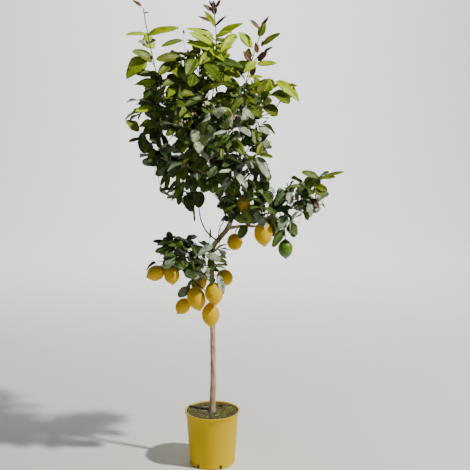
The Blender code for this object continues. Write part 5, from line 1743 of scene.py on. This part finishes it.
def dry_leaf(finishes, rng):
    """One fallen leaf on the compost."""
    heap = Heap()
    spot = Vector((0.020, 0.040, SOIL_Z + 0.004))
    old = Blade(spot, spot + Vector((0.034, 0.012, 0.002)), UP, 0.016, "bronze", 0.9)
    faces, _ = blade_faces()
    corners, uvs = blade_mesh(old, rng)
    heap.add(corners, faces, 0, uvs)
    heap.piece("dry_leaf", [finishes["dry"]], "compost")


def soil_made(finishes):
    """The compost's surface with its grains, moss and straw, and one dry leaf."""
    heap, rng = Heap(), random.Random(21)
    edge = inner_radius(SOIL_Z) - 0.0004
    soil_surface(heap, edge)
    grains(heap, edge, rng)
    moss(heap, edge, rng)
    straw(heap)
    heap.piece("compost_top", finishes["soil"], "compost", ["compost"], smooth=False)
    dry_leaf(finishes, rng)


# Finishes


def linear(colour):
    """An sRGB colour from 0 to 255 as scene-linear shares."""
    shares = [c / 255 for c in colour]
    return [c / 12.92 if c < 0.04045 else ((c + 0.055) / 1.055) ** 2.4 for c in shares]


class Finish:
    """A node material: a Principled shader, and a colour that varies from place to place."""

    def __init__(self, name, roughness, **values):
        self.made = bpy.data.materials.new(name)
        self.made.use_nodes = True
        self.tree = self.made.node_tree
        self.shader = self.tree.nodes["Principled BSDF"]
        self.shader.inputs["Roughness"].default_value = roughness
        for key, value in values.items():
            self.shader.inputs[key.replace("_", " ")].default_value = value
        self.place = self.node("ShaderNodeTexCoord").outputs["Object"]

    def node(self, kind, **settings):
        made = self.tree.nodes.new(kind)
        for key, value in settings.items():
            setattr(made, key, value)
        return made

    def link(self, start, end):
        self.tree.links.new(start, end)

    def noise(self, scale, detail=3.0, stretch=None, roughness=0.5):
        made = self.node("ShaderNodeTexNoise")
        made.inputs["Scale"].default_value = scale
        made.inputs["Detail"].default_value = detail
        made.inputs["Roughness"].default_value = roughness
        if stretch:
            mapping = self.node("ShaderNodeMapping")
            mapping.inputs["Scale"].default_value = stretch
            self.link(self.place, mapping.inputs["Vector"])
            self.link(mapping.outputs["Vector"], made.inputs["Vector"])
        else:
            self.link(self.place, made.inputs["Vector"])
        return made.outputs["Fac"]

    def ramp(self, factor, stops):
        """A colour ramp from (share, sRGB colour) stops."""
        made = self.node("ShaderNodeValToRGB")
        points = made.color_ramp.elements
        while len(points) < len(stops):
            points.new(0.5)
        for point, (share, colour) in zip(points, stops):
            point.position = share
            point.color = (*linear(colour), 1)
        self.link(factor, made.inputs["Fac"])
        return made.outputs["Color"]

    def multiply(self, share, first, second):
        """One colour output darkened by a share of another."""
        made = self.node("ShaderNodeMix", data_type="RGBA", blend_type="MULTIPLY")
        made.inputs[0].default_value = share
        self.link(first, made.inputs[6])
        self.link(second, made.inputs[7])
        return made.outputs[2]

    def colour(self, output):
        self.link(output, self.shader.inputs["Base Color"])

    def bump(self, height, strength, distance):
        made = self.node("ShaderNodeBump")
        made.inputs["Strength"].default_value = strength
        made.inputs["Distance"].default_value = distance
        self.link(height, made.inputs["Height"])
        self.link(made.outputs["Normal"], self.shader.inputs["Normal"])

    def rough(self, factor, low, high):
        made = self.node("ShaderNodeMapRange")
        made.inputs["To Min"].default_value = low
        made.inputs["To Max"].default_value = high
        self.link(factor, made.inputs["Value"])
        self.link(made.outputs["Result"], self.shader.inputs["Roughness"])


def lighter(colour, share):
    """A colour moved towards white, or towards black for a share under 0."""
    goal = 255 if share > 0 else 0
    return tuple(c + (goal - c) * abs(share) for c in colour)


def mottled(made, colour, scale, detail, *stops):
    """The material of a finish in patches of one colour, darker or paler by a share at each stop."""
    tones = [(place, lighter(colour, share)) for place, share in stops]
    made.colour(made.ramp(made.noise(scale, detail), tones))
    return made.made


def leaf_finishes(tint):
    """The upper side, the midrib and the underside of one tint of leaf."""
    top, under = TINTS[tint]
    # The pale tints have more gloss and stronger mottles, which are partly painted highlights
    roughness, specular, scale, dark, pale = GLOSSY_LEAF if tint in GLOSSY_PAINTED_SHEEN else MATT_LEAF
    vein = tuple(a + (b - a) * VEIN_SHARE for a, b in zip(lighter(top, 0.04), VEIN))
    upper = Finish(f"leaf_{tint}", roughness, Specular_IOR_Level=specular)
    rib = Finish(f"midrib_{tint}", 0.45)
    lower = Finish(f"leaf_under_{tint}", 0.62)
    return [
        mottled(upper, top, scale, 2, (0.35, dark), (0.65, pale)),
        mottled(rib, vein, 60, 1, (0.4, 0), (0.6, 0.06)),
        mottled(lower, under, 30, 2, (0.35, -0.08), (0.65, 0.08)),
    ]


def plain(name, low, high, roughness, scale):
    """A finish that moves softly between two near colours."""
    made = Finish(name, roughness)
    made.colour(made.ramp(made.noise(scale), [(0.3, low), (0.7, high)]))
    return made.made


def bark_finish(name, tones):
    made = Finish(name, 0.85)
    streak = made.noise(1.0, 4, (260, 260, 22), 0.6)
    base = made.ramp(streak, list(zip((0.30, 0.48, 0.66), tones)))
    blotch = made.ramp(made.noise(42, 3), [(0.42, (255, 255, 255)), (0.62, (206, 202, 180))])
    made.colour(made.multiply(0.8, base, blotch))
    made.bump(streak, 0.5, 0.0006)
    return made.made


def plastic_finish():
    made = Finish("yellow_plastic", 0.42, Specular_IOR_Level=0.12)
    base = made.ramp(made.noise(9, 2), [(0.35, (216, 182, 0)), (0.65, (222, 188, 0))])
    dust = made.ramp(made.noise(140, 4, None, 0.7), [(0.60, (255, 255, 255)), (0.80, (232, 222, 196))])
    made.colour(made.multiply(0.5, base, dust))
    made.rough(made.noise(20, 3), 0.36, 0.48)
    return made.made


def lemon_finish():
    made = Finish("lemon", 0.42, Subsurface_Weight=0.06, Subsurface_Scale=0.004, Specular_IOR_Level=0.22)
    made.shader.inputs["Subsurface Radius"].default_value = (1.0, 0.55, 0.10)
    tones = [(0.30, (220, 172, 0)), (0.55, (230, 188, 0)), (0.75, (238, 202, 2))]
    made.colour(made.ramp(made.noise(26, 3), tones))
    made.bump(made.noise(700, 2), 0.35, 0.0006)
    return made.made


def green_lemon_finish():
    made = Finish("green_lemon", 0.40, Subsurface_Weight=0.15, Subsurface_Scale=0.005, Coat_Weight=0.10)
    made.colour(made.ramp(made.noise(24, 3), [(0.30, (62, 96, 16)), (0.70, (106, 140, 24))]))
    made.bump(made.noise(700, 2), 0.35, 0.0006)
    return made.made


# Each finish that moves between two near colours: its material, the colours, roughness and scale
PLAIN = {
    "shoot": ("young_bark", (110, 128, 62), (150, 160, 96), 0.55, 40),
    # The twig bark is its own green-brown, darkened as painted shade of the crown's inside
    "twig": ("twig_bark", (58, 60, 34), (92, 90, 54), 0.7, 50),
    "stalk": ("leaf_stalk", (112, 128, 48), (142, 152, 66), 0.6, 50),
    "bud": ("bud_white", (232, 222, 186), (246, 240, 214), 0.5, 60),
    "stamen": ("stamen_yellow", (206, 170, 40), (226, 196, 70), 0.6, 60),
    "bud_pink": ("bud_pink", (222, 172, 164), (236, 198, 184), 0.5, 60),
    "dry": ("dry_leaf", (92, 52, 34), (136, 84, 54), 0.8, 60),
}
# The cracks, the body and the ridges of the bark, on the trunk and on the crown's boughs
BARK_TONES = [(124, 104, 80), (190, 167, 136), (224, 207, 178)]
BRANCH_TONES = [(60, 54, 36), (98, 88, 60), (134, 122, 88)]
# The compost's surface, three more tones of grain, pale specks, and two greens of moss
SOIL_TONES = [
    ((74, 70, 44), (108, 102, 70)), ((36, 32, 20), (60, 54, 34)), ((116, 110, 80), (152, 146, 114)),
    ((70, 74, 34), (100, 104, 54)), ((214, 202, 164), (240, 232, 204)), ((90, 98, 8), (122, 128, 20)),
    ((120, 126, 20), (154, 158, 40)),
]


def all_finishes():
    """Every finish by name. A leaf's tint and the compost have a list of them."""
    finishes = {tint: leaf_finishes(tint) for tint in TINTS}
    finishes["bark"] = bark_finish("bark", BARK_TONES)
    finishes["branch"] = bark_finish("branch_bark", BRANCH_TONES)
    finishes["lemon"], finishes["green_lemon"] = lemon_finish(), green_lemon_finish()
    finishes["plastic"] = plastic_finish()
    finishes["soil"] = [plain(f"compost_{i}", *tones, 0.95, 220) for i, tones in enumerate(SOIL_TONES)]
    return finishes | {name: plain(*values) for name, values in PLAIN.items()}


# Floor, light and camera


def backdrop():
    """A pale floor that rises in a wide curve far behind, in one sheet."""
    line = [(FLOOR_FRONT, 0.0), (FLOOR_RISE, 0.0)]
    for i in range(1, 13):
        turn = i / 12 * math.pi / 2
        line.append((FLOOR_RISE + FLOOR_CURVE * math.sin(turn), FLOOR_CURVE * (1 - math.cos(turn))))
    line.append((FLOOR_RISE + FLOOR_CURVE, FLOOR_TOP))
    corners = [Vector((x, y, z)) for y, z in line for x in (-FLOOR_SIDE, FLOOR_SIDE)]
    faces = [(2 * i, 2 * i + 1, 2 * i + 3, 2 * i + 2) for i in range(len(line) - 1)]
    pale = plain("floor", (244, 244, 242), (246, 246, 244), 0.9, 2)
    made = linked("floor", meshed("floor", corners, faces, [pale]))
    made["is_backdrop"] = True


def lit():
    """The sky, a small key light, a wide light on the wall behind, and a faint fill."""
    world = bpy.data.worlds.new("studio")
    world.use_nodes = True
    sky = world.node_tree.nodes["Background"]
    sky.inputs["Color"].default_value = (0.98, 0.99, 1.0, 1)
    sky.inputs["Strength"].default_value = WORLD_LIGHT
    bpy.context.scene.world = world
    for lamp in LAMPS:
        light = bpy.data.lights.new(lamp.name, "AREA")
        light.size = lamp.size
        light.energy = lamp.power
        light.color = lamp.colour
        made = linked(lamp.name, light)
        way = Vector(lamp.way)
        made.location = Vector(lamp.goal) + way.normalized() * LAMP_FAR
        made.rotation_euler = way.to_track_quat("Z", "Y").to_euler()


def viewed():
    """The camera, at the photograph's viewing angle."""
    lens = bpy.data.cameras.new("photo_view")
    lens.lens = CAMERA_LENS
    lens.sensor_width = CAMERA_SENSOR
    made = linked("photo_view", lens)
    made.location = CAMERA_PLACE
    made.rotation_euler = (CAMERA_TILT, 0, 0)
    bpy.context.scene.camera = made


finishes = all_finishes()
limbs = limb_paths()
grown, solids = grow_wood(limbs)
shown, lines = shown_blades(grown)
leaves, bare = grown_leaves(grown, solids, shown)
drop_bare(grown, bare, lines)
wood(limbs, grown, lines, leaves, finishes)
leaves_made(shown + [leaf.blade for leaf in leaves], finishes)
fruit_made(finishes)
blossom_made(grown, finishes)
pot_made(finishes)
soil_made(finishes)
backdrop()
lit()
viewed()

sizes = {"cad": CAD_BOX, "finished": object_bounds()}
plain_sizes = {name: [[float(value) for value in corner] for corner in box] for name, box in sizes.items()}
